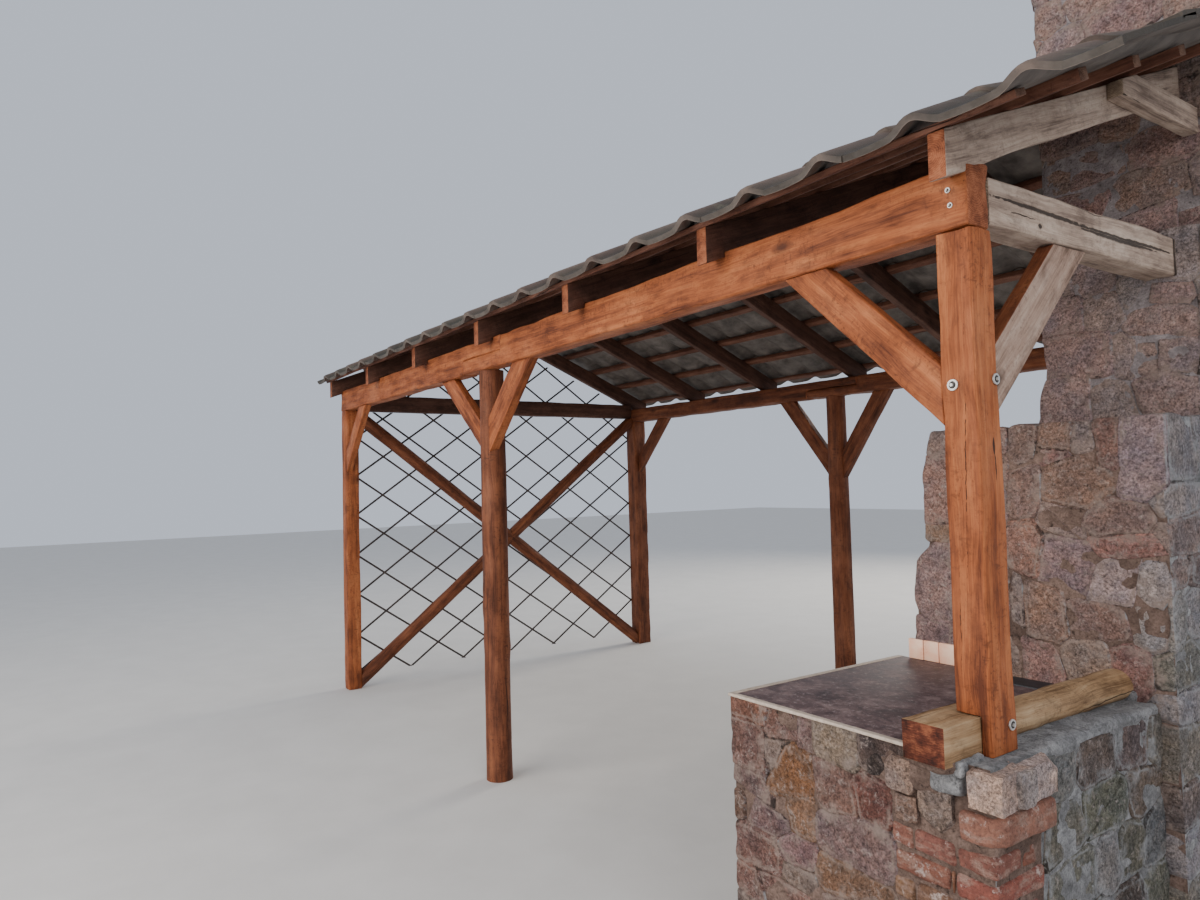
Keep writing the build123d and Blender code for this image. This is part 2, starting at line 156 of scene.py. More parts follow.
def layer(tree, factor, under, over, mode="MIX"):
    """One colour laid over another."""
    made = put(tree, "ShaderNodeMix", data_type="RGBA", blend_type=mode)
    for index, value in ((0, factor), (6, under), (7, over)):
        if isinstance(value, bpy.types.NodeSocket):
            tree.links.new(value, made.inputs[index])
        elif index:
            made.inputs[index].default_value = (*value, 1)
        else:
            made.inputs[index].default_value = value
    return made.outputs[2]


def tinted(tree, colour, tint):
    """A colour multiplied by another."""
    return layer(tree, 1.0, colour, tint, "MULTIPLY")


def dimmed(colour, share):
    """A share of a colour."""
    return tuple(share * c for c in colour)


def finish_named(name):
    """An empty finish: its material, node tree and shader."""
    material = bpy.data.materials.new(name)
    material.use_nodes = True
    tree = material.node_tree
    return material, tree, tree.nodes["Principled BSDF"]


def surface(tree, shader, colour, rough, height, strength, distance, specular=0.5):
    """Ties colour, roughness and relief to the shader."""
    tree.links.new(colour, shader.inputs["Base Color"])
    if isinstance(rough, bpy.types.NodeSocket):
        tree.links.new(rough, shader.inputs["Roughness"])
    else:
        shader.inputs["Roughness"].default_value = rough
    bump = put(tree, "ShaderNodeBump", {"Height": height, "Strength": strength, "Distance": distance})
    tree.links.new(bump.outputs[0], shader.inputs["Normal"])
    shader.inputs["Specular IOR Level"].default_value = specular


def drying_cracks(tree, grain, share):
    """Long thin cracks along the grain, tapering to both ends, in a share of the wood. 1 in the crack."""
    long = stretched(tree, grain, (1.5, 10.0, 10.0))
    cells = put(tree, "ShaderNodeTexVoronoi", {"Vector": long, "Scale": 1.0, "Randomness": 0.9})
    local = vectors(tree, "SUBTRACT", long, cells.outputs["Position"])
    axes = put(tree, "ShaderNodeSeparateXYZ", {0: local}).outputs
    wander = minus(tree, streaky(tree, grain, (4.0, 2.0, 2.0), 3.0), 0.5)
    across = plus(tree, plus(tree, axes[1], axes[2]), times(tree, wander, 0.35))
    reach = minus(tree, 1.0, times(tree, times(tree, axes[0], axes[0]), 5.5))
    width = sums(tree, "MAXIMUM", times(tree, reach, 0.019), 0.0004)
    share_of_width = sums(tree, "DIVIDE", sums(tree, "ABSOLUTE", across), width)
    crack = ramp(tree, share_of_width, [(0.45, 1.0), (1.0, 0.0)])
    chosen = put(tree, "ShaderNodeSeparateColor", {"Color": cells.outputs["Color"]}).outputs[1]
    return times(tree, crack, sums(tree, "GREATER_THAN", chosen, 1.0 - share))


def placed_cracks(tree, routes):
    """Cracks, and painted contact shadows, along given routes, each with its half width at the middle. 1 in
    the crack.
    """
    place = object_place(tree)
    sway = put(tree, "ShaderNodeTexNoise", {"Vector": place, "Scale": 38.0, "Detail": 3.0}).outputs["Color"]
    place = pushed(tree, place, vectors(tree, "SUBTRACT", sway, (0.5, 0.5, 0.5)), 0.008)
    total = None
    for half, points in routes:
        for k, (start, end) in enumerate(zip(points, points[1:])):
            run = Vector(end) - Vector(start)
            off = vectors(tree, "SUBTRACT", place, tuple(start))
            part = vectors(tree, "DOT_PRODUCT", off, tuple(run / run.length_squared), "Value")
            part = put(tree, "ShaderNodeClamp", {"Value": part}).outputs[0]
            foot = put(tree, "ShaderNodeVectorMath", {0: tuple(run), "Scale": part},
                       operation="SCALE").outputs[0]
            gap = vectors(tree, "DISTANCE", off, foot, "Value")
            whole = minus(tree, times(tree, plus(tree, part, k), 2.0 / (len(points) - 1)), 1.0)
            width = times(tree, minus(tree, 1.02, times(tree, whole, whole)), half)
            crack = ramp(tree, sums(tree, "DIVIDE", gap, width), [(0.5, 1.0), (1.0, 0.0)])
            total = crack if total is None else sums(tree, "MAXIMUM", total, crack)
    return total


def timber_finish(name, dark, mid, light, rough=0.6, crack_share=0.25, fleck_share=0.7, relief=0.5,
                  routes=()):
    """Wood along its own grain: streaks, fibres, tool marks, stains, knots and drying cracks."""
    material, tree, shader = finish_named(name)
    grain = attribute(tree, "grain", "Vector")
    warp = streaky(tree, grain, (2.2, 7, 7), 2.0)
    shift = put(tree, "ShaderNodeCombineXYZ",
                {"Y": times(tree, warp, 0.06), "Z": times(tree, warp, 0.05)}).outputs[0]
    run = vectors(tree, "ADD", grain, shift)
    streaks = streaky(tree, run, (1.1, 30, 30), 3.0)
    fibres = streaky(tree, run, (6, 210, 210), 4.0, 0.65)
    broad = streaky(tree, grain, (4.5, 9, 9), 3.0, 0.6)
    tone = weighed(tree, (streaks, 0.40), (fibres, 0.30), (broad, 0.30))
    colour = ramp(tree, tone, [(0.38, dark), (0.50, mid), (0.62, light)])
    stain = ramp(tree, streaky(tree, grain, (9, 24, 24), 5.0, 0.7), [(0.50, 0.0), (0.70, 1.0)])
    colour = layer(tree, times(tree, stain, 0.55), colour, dimmed(dark, 0.75))
    smudges = ramp(tree, streaky(tree, grain, (70, 36, 36), 4.0, 0.6, 0.6), [(0.54, 0.0), (0.68, 0.75)])
    dabs = ramp(tree, streaky(tree, grain, (62, 120, 120), 4.0, 0.7), [(0.57, 0.0), (0.68, 1.0)])
    where = ramp(tree, streaky(tree, grain, (4.0, 10, 10), 3.0), [(0.40, 0.15), (0.58, 1.0)])
    flecks = times(tree, sums(tree, "MAXIMUM", smudges, dabs), times(tree, where, fleck_share))
    colour = layer(tree, flecks, colour, dimmed(dark, 0.62))
    cells = put(tree, "ShaderNodeTexVoronoi", {"Vector": stretched(tree, run, (3.4, 8.0, 8.0)), "Scale": 1.0})
    knot = ramp(tree, cells.outputs["Distance"], [(0.04, 1.0), (0.13, 0.5), (0.20, 0.0)], True)
    chosen = put(tree, "ShaderNodeSeparateColor", {"Color": cells.outputs["Color"]}).outputs[0]
    knot = times(tree, knot, sums(tree, "GREATER_THAN", chosen, 0.74))
    colour = layer(tree, times(tree, knot, 0.85), colour, dimmed(dark, 0.5))
    crack = drying_cracks(tree, grain, crack_share)
    # Placed routes add cracks and painted contact shadows.
    if routes:
        crack = sums(tree, "MAXIMUM", crack, placed_cracks(tree, routes))
    colour = layer(tree, times(tree, crack, 0.92), colour, dimmed(dark, 0.16))
    scallops = streaky(tree, grain, (34, 13, 13), 2.0, 0.5, 0.8)
    height = weighed(tree, (fibres, 0.40), (streaks, 0.4), (scallops, 0.5))
    height = minus(tree, height, times(tree, flecks, 0.22))
    height = minus(tree, height, times(tree, crack, 0.9))
    gloss = ramp(tree, broad, [(0.35, rough + 0.12), (0.65, rough - 0.08)])
    surface(tree, shader, colour, gloss, height, relief, 0.006, 0.28)
    return material


def end_grain_finish(name, dark, mid, light, ring_share=0.07):
    """A sawn end: rings round the heart and saw marks."""
    material, tree, shader = finish_named(name)
    grain = attribute(tree, "heart", "Vector")
    flat = stretched(tree, grain, (0.0, 1.0, 1.0))
    reach = put(tree, "ShaderNodeVectorMath", {0: flat}, operation="LENGTH").outputs["Value"]
    wobble = clouds(tree, grain, 22.0, 4.0, 0.65)
    rings = sums(tree, "SINE", weighed(tree, (reach, 1150.0), (wobble, 14.0)))
    saw = streaky(tree, grain, (1, 60, 420), 3.0)
    tone = weighed(tree, (rings, ring_share), (saw, 0.3), (wobble, 0.7))
    colour = ramp(tree, tone, [(0.36, dark), (0.50, mid), (0.64, light)])
    surface(tree, shader, colour, 0.85, tone, 0.5, 0.004, 0.25)
    return material


def patches(tree, place, scale):
    """Straight-sided patches, as on broken stone: a chance value, and the distance from the middle."""
    swirl = put(tree, "ShaderNodeTexNoise", {"Vector": place, "Scale": 24.0, "Detail": 4.0}).outputs["Color"]
    cells = put(tree, "ShaderNodeTexVoronoi", {"Vector": pushed(tree, place, swirl, 0.035), "Scale": scale})
    chance = put(tree, "ShaderNodeSeparateXYZ", {0: cells.outputs["Color"]}).outputs[0]
    return chance, cells.outputs["Distance"]


def stone_finish():
    """Field stone: each stone's own tint, broken and speckled, with mortar left along its joint."""
    material, tree, shader = finish_named("field_stone")
    place = object_place(tree)
    tint = attribute(tree, "tint", "Color")
    gap = attribute(tree, "gap", "Fac")
    # Painted sky light: faces that look along +X, toward the near side, get a blue-grey mortar and a slightly
    # bluer stone colour.
    skylit_side = ramp(tree, facing(tree, 0), [(0.4, 0.0), (0.6, 1.0)])
    mortar = layer(tree, skylit_side, (0.36, 0.275, 0.230), (0.38, 0.385, 0.39))
    wobble = minus(tree, clouds(tree, place, 55.0, 5.0, 0.75), 0.5)
    reach = plus(tree, gap, times(tree, wobble, 0.42))
    broad = clouds(tree, place, 10.0, 5.0, 0.62)
    mottle = clouds(tree, place, 40.0, 6.0, 0.78, 0.9)
    speckle = clouds(tree, place, 115.0, 6.0, 0.85)
    warm = tinted(tree, tint, (2.30, 1.96, 1.76))
    cool = tinted(tree, tint, (1.62, 1.54, 1.60))
    colour = layer(tree, ramp(tree, broad, [(0.38, 0.0), (0.62, 1.0)]), warm, cool)
    wide_chance, wide_distance = patches(tree, place, 34.0)
    small_chance, small_distance = patches(tree, place, 85.0)
    # Painted shade: each straight-sided patch is darkened by its own random share, standing for facets turned
    # away from the light.
    colour = tinted(tree, colour, ramp(tree, wide_chance, [(0.05, 0.74), (0.95, 1.0)]))
    colour = tinted(tree, colour, ramp(tree, small_chance, [(0.05, 0.78), (0.95, 1.0)]))
    colour = layer(tree, ramp(tree, mottle, [(0.34, 0.80), (0.47, 0.0)]), colour,
                   tinted(tree, tint, (0.52, 0.45, 0.43)))
    colour = layer(tree, ramp(tree, mottle, [(0.53, 0.0), (0.65, 0.65)]), colour, (0.62, 0.51, 0.45))
    colour = tinted(tree, colour, ramp(tree, speckle, [(0.36, 0.16), (0.48, 0.60), (0.60, 1.0)]))
    # Painted sky light: stone faces toward the near side are tinted bluer.
    colour = layer(tree, skylit_side, colour, tinted(tree, colour, (0.98, 1.0, 1.04)))
    patchy = clouds(tree, place, 16.0, 5.0, 0.7)
    smear = times(tree, ramp(tree, reach, [(0.10, 1.0), (0.80, 0.0)]),
                  ramp(tree, patchy, [(0.50, 0.0), (0.62, 0.80)]))
    outline = times(tree, ramp(tree, reach, [(0.02, 0.0), (0.07, 0.75), (0.12, 0.75), (0.24, 0.0)]),
                    ramp(tree, clouds(tree, place, 12.0, 3.0), [(0.40, 0.15), (0.58, 0.85)]))
    colour = layer(tree, sums(tree, "MAXIMUM", smear, outline), colour, mortar)
    # Painted shade: the deepest part of the joints is painted near-black in patches.
    joint_shade = times(tree, ramp(tree, reach, [(0.00, 1.0), (0.035, 0.0)]),
                    ramp(tree, clouds(tree, place, 9.0, 4.0, 0.7), [(0.54, 0.0), (0.62, 0.85)]))
    colour = layer(tree, joint_shade, colour, (0.035, 0.026, 0.022))
    height = weighed(tree, (mottle, 0.65), (broad, 0.6), (speckle, 0.34))
    height = minus(tree, height, times(tree, wide_distance, 0.45))
    height = minus(tree, height, times(tree, small_distance, 0.22))
    surface(tree, shader, colour, 0.9, height, 1.0, 0.022, 0.25)
    return material


def mortar_finish(name, dark, light, pores=0.8, relief=0.016):
    """Sandy mortar, struck off roughly, with dark holes and stains."""
    material, tree, shader = finish_named(name)
    place = object_place(tree)
    sand = clouds(tree, place, 150.0, 5.0, 0.8)
    trowel = clouds(tree, place, 26.0, 6.0, 0.74, 0.6)
    colour = ramp(tree, weighed(tree, (sand, 0.50), (trowel, 0.50)), [(0.41, dark), (0.59, light)])
    stain = ramp(tree, clouds(tree, place, 8.0, 5.0, 0.6), [(0.42, 0.0), (0.62, 0.6)])
    colour = layer(tree, stain, colour, dimmed(dark, 0.60))
    holes = ramp(tree, clouds(tree, place, 60.0, 4.0, 0.7), [(0.32, pores), (0.40, 0.0)])
    colour = layer(tree, holes, colour, dimmed(dark, 0.35))
    height = minus(tree, plus(tree, times(tree, sand, 0.45), trowel), times(tree, holes, 0.4))
    surface(tree, shader, colour, 0.93, height, 1.0, relief, 0.25)
    return material


def brick_finish():
    """Hand-made red brick with mortar smears and dark burnt patches."""
    material, tree, shader = finish_named("old_brick")
    place = object_place(tree)
    tint = attribute(tree, "tint", "Color")
    patch = clouds(tree, place, 22.0, 5.0, 0.62, 0.4)
    grit = clouds(tree, place, 150.0, 5.0, 0.8)
    chance, distance = patches(tree, place, 40.0)
    colour = layer(tree, ramp(tree, patch, [(0.42, 0.0), (0.62, 0.8)]), tint,
                   tinted(tree, tint, (0.62, 0.60, 0.64)))
    # Painted shade: each straight-sided patch is darkened by its own random share, standing for facets turned
    # away from the light.
    colour = tinted(tree, colour, ramp(tree, chance, [(0.05, 0.80), (0.95, 1.0)]))
    smear = ramp(tree, streaky(tree, place, (13, 13, 30), 6.0, 0.72), [(0.49, 0.0), (0.62, 0.75)])
    colour = layer(tree, smear, colour, (0.36, 0.240, 0.190))
    pale = ramp(tree, clouds(tree, place, 19.0, 6.0, 0.75), [(0.57, 0.0), (0.64, 0.75)])
    colour = layer(tree, pale, colour, (0.56, 0.45, 0.40))
    colour = tinted(tree, colour, ramp(tree, grit, [(0.34, 0.40), (0.48, 0.85), (0.60, 1.0)]))
    height = minus(tree, plus(tree, times(tree, grit, 0.35), patch), times(tree, distance, 0.3))
    surface(tree, shader, colour, 0.85, height, 0.9, 0.014, 0.3)
    return material


def tile_finish():
    """Weathered roof tile: dull brown, mossy and darker in its pan and lighter on the roll's crest, partly
    painted shade and light, dusty below, with a worn lower arris.
    """
    material, tree, shader = finish_named("roof_tile")
    place = object_place(tree)
    tint = attribute(tree, "tint", "Color")
    edge = attribute(tree, "rim", "Fac")
    crest = attribute(tree, "crest", "Fac")
    broad = clouds(tree, place, 5.0, 5.0, 0.65)
    mottle = clouds(tree, place, 18.0, 6.0, 0.72, 0.5)
    grit = clouds(tree, place, 130.0, 5.0, 0.8)
    colour = layer(tree, ramp(tree, broad, [(0.38, 0.0), (0.66, 0.85)]), tint,
                   tinted(tree, tint, (0.60, 0.62, 0.60)))
    # The pans are painted darker and greener and the crests lighter: partly moss and wear, partly painted
    # shade and light that show the rolls' shape.
    colour = layer(tree, ramp(tree, crest, [(0.05, 0.75), (0.45, 0.0)]), colour,
                   tinted(tree, colour, (0.42, 0.48, 0.40)))
    worn = times(tree, ramp(tree, crest, [(0.55, 0.0), (0.95, 0.65)]),
                 ramp(tree, mottle, [(0.40, 0.2), (0.56, 1.0)]))
    colour = layer(tree, worn, colour, tinted(tree, tint, (2.1, 2.0, 1.95)))
    upward = facing(tree, 2)
    above = ramp(tree, upward, [(0.2, 0.0), (0.8, 1.0)])
    below = ramp(tree, times(tree, upward, -1.0), [(0.2, 0.0), (0.8, 1.0)])
    lichen = times(tree, ramp(tree, mottle, [(0.52, 0.0), (0.68, 0.6)]),
                   ramp(tree, broad, [(0.45, 0.0), (0.60, 1.0)]))
    colour = layer(tree, times(tree, lichen, above), colour, (0.13, 0.12, 0.080))
    colour = layer(tree, ramp(tree, grit, [(0.34, 0.45), (0.46, 0.0)]), colour, (0.012, 0.011, 0.009))
    dust = ramp(tree, clouds(tree, place, 9.0, 5.0, 0.65),
                [(0.35, (0.075, 0.065, 0.058)), (0.65, (0.185, 0.160, 0.142))])
    colour = layer(tree, below, colour, dust)
    lip = times(tree, ramp(tree, edge, [(0.90, 0.0), (0.99, 0.6)]),
                ramp(tree, clouds(tree, place, 24.0, 4.0, 0.65), [(0.35, 0.4), (0.55, 1.0)]))
    colour = layer(tree, lip, colour, (0.26, 0.205, 0.165))
    height = plus(tree, times(tree, grit, 0.5), mottle)
    surface(tree, shader, colour, 0.66, height, 0.6, 0.006, 0.3)
    return material


def slab_finish():
    """Dark purple-brown slab, dull and dusty, with pale and dark flecks."""
    material, tree, shader = finish_named("counter_slab")
    place = object_place(tree)
    broad = clouds(tree, place, 11.0, 6.0, 0.70, 0.6)
    fleck = clouds(tree, place, 52.0, 6.0, 0.80, 0.4)
    colour = ramp(tree, broad, [(0.36, (0.050, 0.031, 0.034)), (0.50, (0.110, 0.070, 0.071)),
                                (0.66, (0.215, 0.150, 0.142))])
    colour = layer(tree, ramp(tree, fleck, [(0.54, 0.0), (0.66, 0.65)]), colour, (0.36, 0.29, 0.275))
    colour = layer(tree, ramp(tree, fleck, [(0.32, 0.75), (0.45, 0.0)]), colour, (0.020, 0.013, 0.014))
    rough = ramp(tree, broad, [(0.3, 0.50), (0.7, 0.72)])
    surface(tree, shader, colour, rough, plus(tree, fleck, broad), 0.25, 0.002)
    return material


def plain_finish(name, dark, light, rough, metal=0.0, scale=60.0, strength=0.3):
    """A simple worn finish for small parts."""
    material, tree, shader = finish_named(name)
    cloud = clouds(tree, object_place(tree), scale, 4.0, 0.6)
    shader.inputs["Metallic"].default_value = metal
    surface(tree, shader, ramp(tree, cloud, [(0.35, dark), (0.65, light)]),
            ramp(tree, cloud, [(0.3, max(rough - 0.08, 0.05)), (0.7, rough + 0.1)]), cloud, strength, 0.001)
    return material


# Each crack is its half width and the points it runs through.

POST_CRACKS = (
    (0.0022, ((X_NEAR, -1.519, 1.400), (X_NEAR, -1.530, 1.200), (X_NEAR, -1.545, 1.006))),
    (0.0065, ((X_NEAR, -1.4545, 1.716), (X_NEAR, -1.4525, 1.665))),
    (0.0036, ((X_NEAR, -1.4515, 1.690), (X_NEAR, -1.4485, 1.590))),
    (0.0018, ((2.599, Y_FRONT, 2.076), (2.585, Y_FRONT, 1.603), (2.575, Y_FRONT, 1.300))),
    (0.0016, ((2.556, Y_FRONT, 1.450), (2.549, Y_FRONT, 1.080))),
)
BEAM_CRACKS_AND_SHADOW = (
    (0.0058, ((X_NEAR, -1.470, 2.3660), (X_NEAR, -1.165, 2.3625), (X_NEAR, -0.907, 2.3600),
              (X_NEAR, -0.602, 2.3560), (X_NEAR, -0.262, 2.3600))),
    (0.0075, ((X_NEAR, -1.440, 2.3690), (X_NEAR, -1.165, 2.3640), (X_NEAR, -0.880, 2.3650))),
    (0.0085, ((X_NEAR, -0.990, 2.3530), (X_NEAR, -0.690, 2.3480), (X_NEAR, -0.400, 2.3500))),
    (0.0060, ((X_NEAR, -0.660, 2.3610), (X_NEAR, -0.264, 2.3590))),
    (0.0095, ((X_NEAR, -1.178, 2.3230), (X_NEAR, -1.150, 2.3200))),
    (0.0024, ((X_NEAR, -1.350, 2.3400), (X_NEAR, -1.180, 2.3350))),
    # Painted shadow: this last line is the contact shadow where the beam meets the breast, not a crack.
    (0.0110, ((X_NEAR, -0.283, 2.560), (X_NEAR, -0.283, 2.330), (X_NEAR, -0.283, 2.100))),
)

STAINED = timber_finish(
    "stained_timber", (0.105, 0.026, 0.009), (0.315, 0.088, 0.027), (0.47, 0.160, 0.055), 0.62,
    routes=POST_CRACKS)
STAINED_END = end_grain_finish(
    "stained_end", (0.11, 0.032, 0.015), (0.25, 0.078, 0.034), (0.37, 0.135, 0.064), 0.04)
# Painted shade: a darker copy of the stain for the mid and back posts, back plates, back braces, crossed logs
# and the end brace's upper front face, which stand in shade.
SHADED_STAINED = timber_finish(
    "shaded_stained_timber", (0.050, 0.015, 0.007), (0.155, 0.046, 0.018), (0.26, 0.088, 0.036), 0.66)
WEATHERED = timber_finish(
    "weathered_timber", (0.165, 0.115, 0.090), (0.420, 0.318, 0.250), (0.56, 0.455, 0.370), 0.76,
    0.12, 0.45, 0.7, BEAM_CRACKS_AND_SHADOW)
WEATHERED_END = end_grain_finish(
    "weathered_end", (0.12, 0.085, 0.060), (0.24, 0.17, 0.12), (0.36, 0.28, 0.20))
BRACE = timber_finish(
    "brace_timber", (0.125, 0.075, 0.052), (0.335, 0.225, 0.170), (0.46, 0.340, 0.270), 0.76,
    0.10, 0.5, 0.7)
# The tie beam and rafters are dark brown: partly their own dark stain, partly painted shade from standing
# under the roof.
DARK = timber_finish(
    "dark_timber", (0.040, 0.017, 0.011), (0.088, 0.038, 0.025), (0.145, 0.068, 0.045), 0.68)
DARK_END = end_grain_finish("dark_end", (0.05, 0.025, 0.017), (0.13, 0.07, 0.045), (0.22, 0.13, 0.08))
BATTEN = timber_finish(
    "batten_timber", (0.070, 0.026, 0.016), (0.150, 0.060, 0.036), (0.23, 0.105, 0.068), 0.72)
BATTEN_END = end_grain_finish(
    "batten_end", (0.08, 0.040, 0.026), (0.17, 0.090, 0.060), (0.27, 0.155, 0.105))
OLIVE = timber_finish(
    "olive_timber", (0.105, 0.054, 0.023), (0.335, 0.205, 0.105), (0.48, 0.335, 0.195), 0.62,
    0.15, 0.6, 0.35)
# The sill's sawn end is very dark red-brown: partly its end grain, partly painted shade on that end.
OLIVE_END = end_grain_finish(
    "olive_end", (0.018, 0.007, 0.005), (0.095, 0.024, 0.012), (0.25, 0.080, 0.036), 0.0)
STONE = stone_finish()
BRICK = brick_finish()
TILE = tile_finish()
SLAB = slab_finish()
MORTAR = mortar_finish("mortar", (0.130, 0.083, 0.064), (0.33, 0.225, 0.180))
PALE_MORTAR = mortar_finish("pale_mortar", (0.215, 0.212, 0.214), (0.60, 0.595, 0.60), 0.40, 0.028)
# Painted glare: the paler mortar for the breast and stack stands for the glare over the high masonry.
GLARE_MORTAR = mortar_finish("glare_mortar", (0.26, 0.222, 0.222), (0.50, 0.44, 0.435), 0.6)
TRIM = plain_finish("slab_trim", (0.44, 0.35, 0.27), (0.60, 0.50, 0.41), 0.6)
CREAM = plain_finish("cream_tile", (0.98, 0.52, 0.34), (1.0, 0.66, 0.47), 0.32, 0.0, 25.0, 0.1)
LATH = plain_finish("lath_paint", (0.022, 0.016, 0.014), (0.060, 0.040, 0.032), 0.5, 0.0, 40.0)
STEEL = plain_finish("bolt_steel", (0.50, 0.49, 0.47), (0.74, 0.73, 0.70), 0.42, 0.7, 120.0, 0.2)
# Painted shade: the near-black ring round a bolt's head stands for the shaded gap.
BOLT_GAP_SHADE = plain_finish("bolt_gap_shade", (0.012, 0.010, 0.009), (0.05, 0.042, 0.036), 0.6, 0.0, 160.0, 0.4)
IRON = plain_finish("dark_iron", (0.010, 0.011, 0.014), (0.030, 0.031, 0.036), 0.5, 0.0, 30.0, 0.2)


# Pieces in general

def add_object(name, data):
    """Puts an object into the scene."""
    made = bpy.data.objects.new(name, data)
    bpy.context.scene.collection.objects.link(made)
    return made


def piece_from(bm, name, finishes, nodes=(), crease=38):
    """Turns a bmesh into a finished piece that rides on the frame."""
    mesh = bpy.data.meshes.new(name)
    bm.to_mesh(mesh)
    bm.free()
    for finish in finishes:
        mesh.materials.append(finish)
    mesh.polygons.foreach_set("use_smooth", [True] * len(mesh.polygons))
    mesh.set_sharp_from_angle(angle=math.radians(crease))
    made = add_object(name, mesh)
    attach(made, "root")
    if nodes:
        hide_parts(*nodes)
    return made


def solid_copy(node, flat=1.0):
    """A merged copy of a solid, with its flat faces made whole again."""
    bm = bmesh.new()
    bm.from_mesh(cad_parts[node].data)
    bmesh.ops.remove_doubles(bm, verts=bm.verts, dist=1e-5)
    bmesh.ops.dissolve_limit(bm, angle_limit=math.radians(flat), verts=bm.verts, edges=bm.edges)
    return bm


def islands(bm):
    """The connected pieces of a bmesh, as lists of vertices."""
    left = set(bm.verts)
    found = []
    while left:
        seed = min(left, key=lambda v: v.index)
        left.discard(seed)
        group, edge = [seed], [seed]
        while edge:
            near = [e.other_vert(v) for v in edge for e in v.link_edges]
            edge = [v for v in dict.fromkeys(near) if v in left]
            left.difference_update(edge)
            group += edge
        found.append(group)
    return found


def cut_across(bm, direction, low, high, step):
    """Cuts the mesh by planes square to a direction, about a step apart."""
    count = max(int(round((high - low) / step)), 1)
    for k in range(1, count):
        bmesh.ops.bisect_plane(bm, geom=bm.verts[:] + bm.edges[:] + bm.faces[:], dist=1e-5,
                               plane_co=direction * (low + (high - low) * k / count), plane_no=direction)


def span(verts, direction):
    """Lowest and highest place along a direction."""
    places = [v.co.dot(direction) for v in verts]
    return min(places), max(places)


def grain_axes(along):
    """Grain direction and the two directions across it."""
    along = Vector(along).normalized()
    side = ACROSS if abs(along.x) < 0.5 else DEEP
    side = (side - along * side.dot(along)).normalized()
    return along, side, along.cross(side)


def somewhere(reach):
    """A random place at which to read a noise."""
    return Vector((draw.uniform(0, reach), draw.uniform(0, reach), draw.uniform(0, reach)))


def bevel(bm, edges, width, segments=2):
    """Breaks edges by a width."""
    bmesh.ops.bevel(bm, geom=edges, offset=width, offset_type="OFFSET", segments=segments, profile=0.5,
                    affect="EDGES", material=-1, clamp_overlap=True)


def cut_off(bm, place, square):
    """Cuts off what is beyond a plane and closes the cut."""
    bmesh.ops.bisect_plane(bm, geom=bm.verts[:] + bm.edges[:] + bm.faces[:], dist=1e-6,
                           plane_co=place, plane_no=square, clear_outer=True)
    rim = [e for e in bm.edges if e.is_boundary]
    if rim:
        bmesh.ops.holes_fill(bm, edges=rim)


def merge(whole, part):
    """Adds a bmesh to another and frees it."""
    strip = bpy.data.meshes.new("strip")
    part.to_mesh(strip)
    part.free()
    whole.from_mesh(strip)
    bpy.data.meshes.remove(strip)


def write_grain(bm, along):
    """Gives every stick its own grain coordinates, and its heart for the end grain."""
    along, side, third = grain_axes(along)
    grain = bm.verts.layers.float_vector.new("grain")
    heart = bm.verts.layers.float_vector.new("heart")
    bm.verts.index_update()
    for group in islands(bm):
        start = somewhere(9)
        middle = [sum(span(group, d)) / 2 + draw.uniform(-0.02, 0.02) for d in (side, third)]
        for v in group:
            local = Vector((v.co.dot(along), v.co.dot(side), v.co.dot(third)))
            v[grain] = local + start
            v[heart] = Vector((local.x, local.y - middle[0], local.z - middle[1]))


def hew(bm, along, arris, wander, step, girth=True):
    """Breaks the arrises of squared sticks and gives their faces the flats and waves left by the axe."""
    along, side, third = grain_axes(along)
    for face in bm.faces:
        face.material_index = 1 if abs(face.normal.dot(along)) > 0.9 else 0
    bevel(bm, [e for e in bm.edges if e.is_manifold and e.calc_face_angle() > math.radians(30)], arris)
    cut_across(bm, along, *span(bm.verts, along), step)
    if girth:
        for direction in (side, third):
            low, high = span(bm.verts, direction)
            cut_across(bm, direction, low, high, (high - low) / 3)
    bm.normal_update()
    worn = {v for e in bm.edges if e.is_manifold and e.calc_face_angle() > math.radians(12) for v in e.verts}
    moves = []
    off = somewhere(40)
    for v in bm.verts:
        place = Vector((v.co.dot(along) * 3.2, v.co.dot(side) * 9, v.co.dot(third) * 9)) + off
        swell = noise.noise(place) * wander + noise.noise(place * 3.1) * wander * 0.45
        if v in worn:
            swell -= max(noise.noise(place * 2.0 + off), 0.0) * arris * 0.9
        moves.append(v.normal * swell)
    for v, move in zip(bm.verts, moves):
        v.co += move


def timber(name, node, along, finishes, arris=0.006, wander=0.0022, step=0.07):
    """A squared timber made from its solid."""
    bm = solid_copy(node)
    hew(bm, along, arris, wander, step)
    write_grain(bm, along)
    return piece_from(bm, name, finishes, [node])


# Camera, floor and light

# Each lamp is its place, what it aims at, its size, power and tint.
LAMPS = {
    "front_light": ((0.5, -8.5, 4.2), (0, 0, 1.3), 6.0, 400, (1.0, 0.95, 0.88)),
    "under_light": ((1.2, -6.5, 0.9), (0.3, 0, 2.3), 4.0, 120, (1.0, 0.93, 0.88)),
    "near_light": ((8.0, -3.0, 4.0), (1.5, 0, 1.4), 4.0, 190, (1.0, 0.96, 0.92)),
    "back_light": ((-3.5, 9.0, 6.5), (0, 0, 1.0), 3.0, 620, (1.0, 0.93, 0.82)),
}
SKY_TINT, SKY_STRENGTH = (0.80, 0.87, 1.0, 1), 0.75
FLOOR_REACH = 30
EYE_PAST_POST, EYE_BEFORE_POST, EYE_HEIGHT = 1.208, 1.9906, 1.62
YAW, PITCH, ROLL = math.radians(56.1411), math.radians(2.3240), math.radians(-1.5178)
FOCAL_LENGTH, SENSOR_WIDTH = 24.51, 36


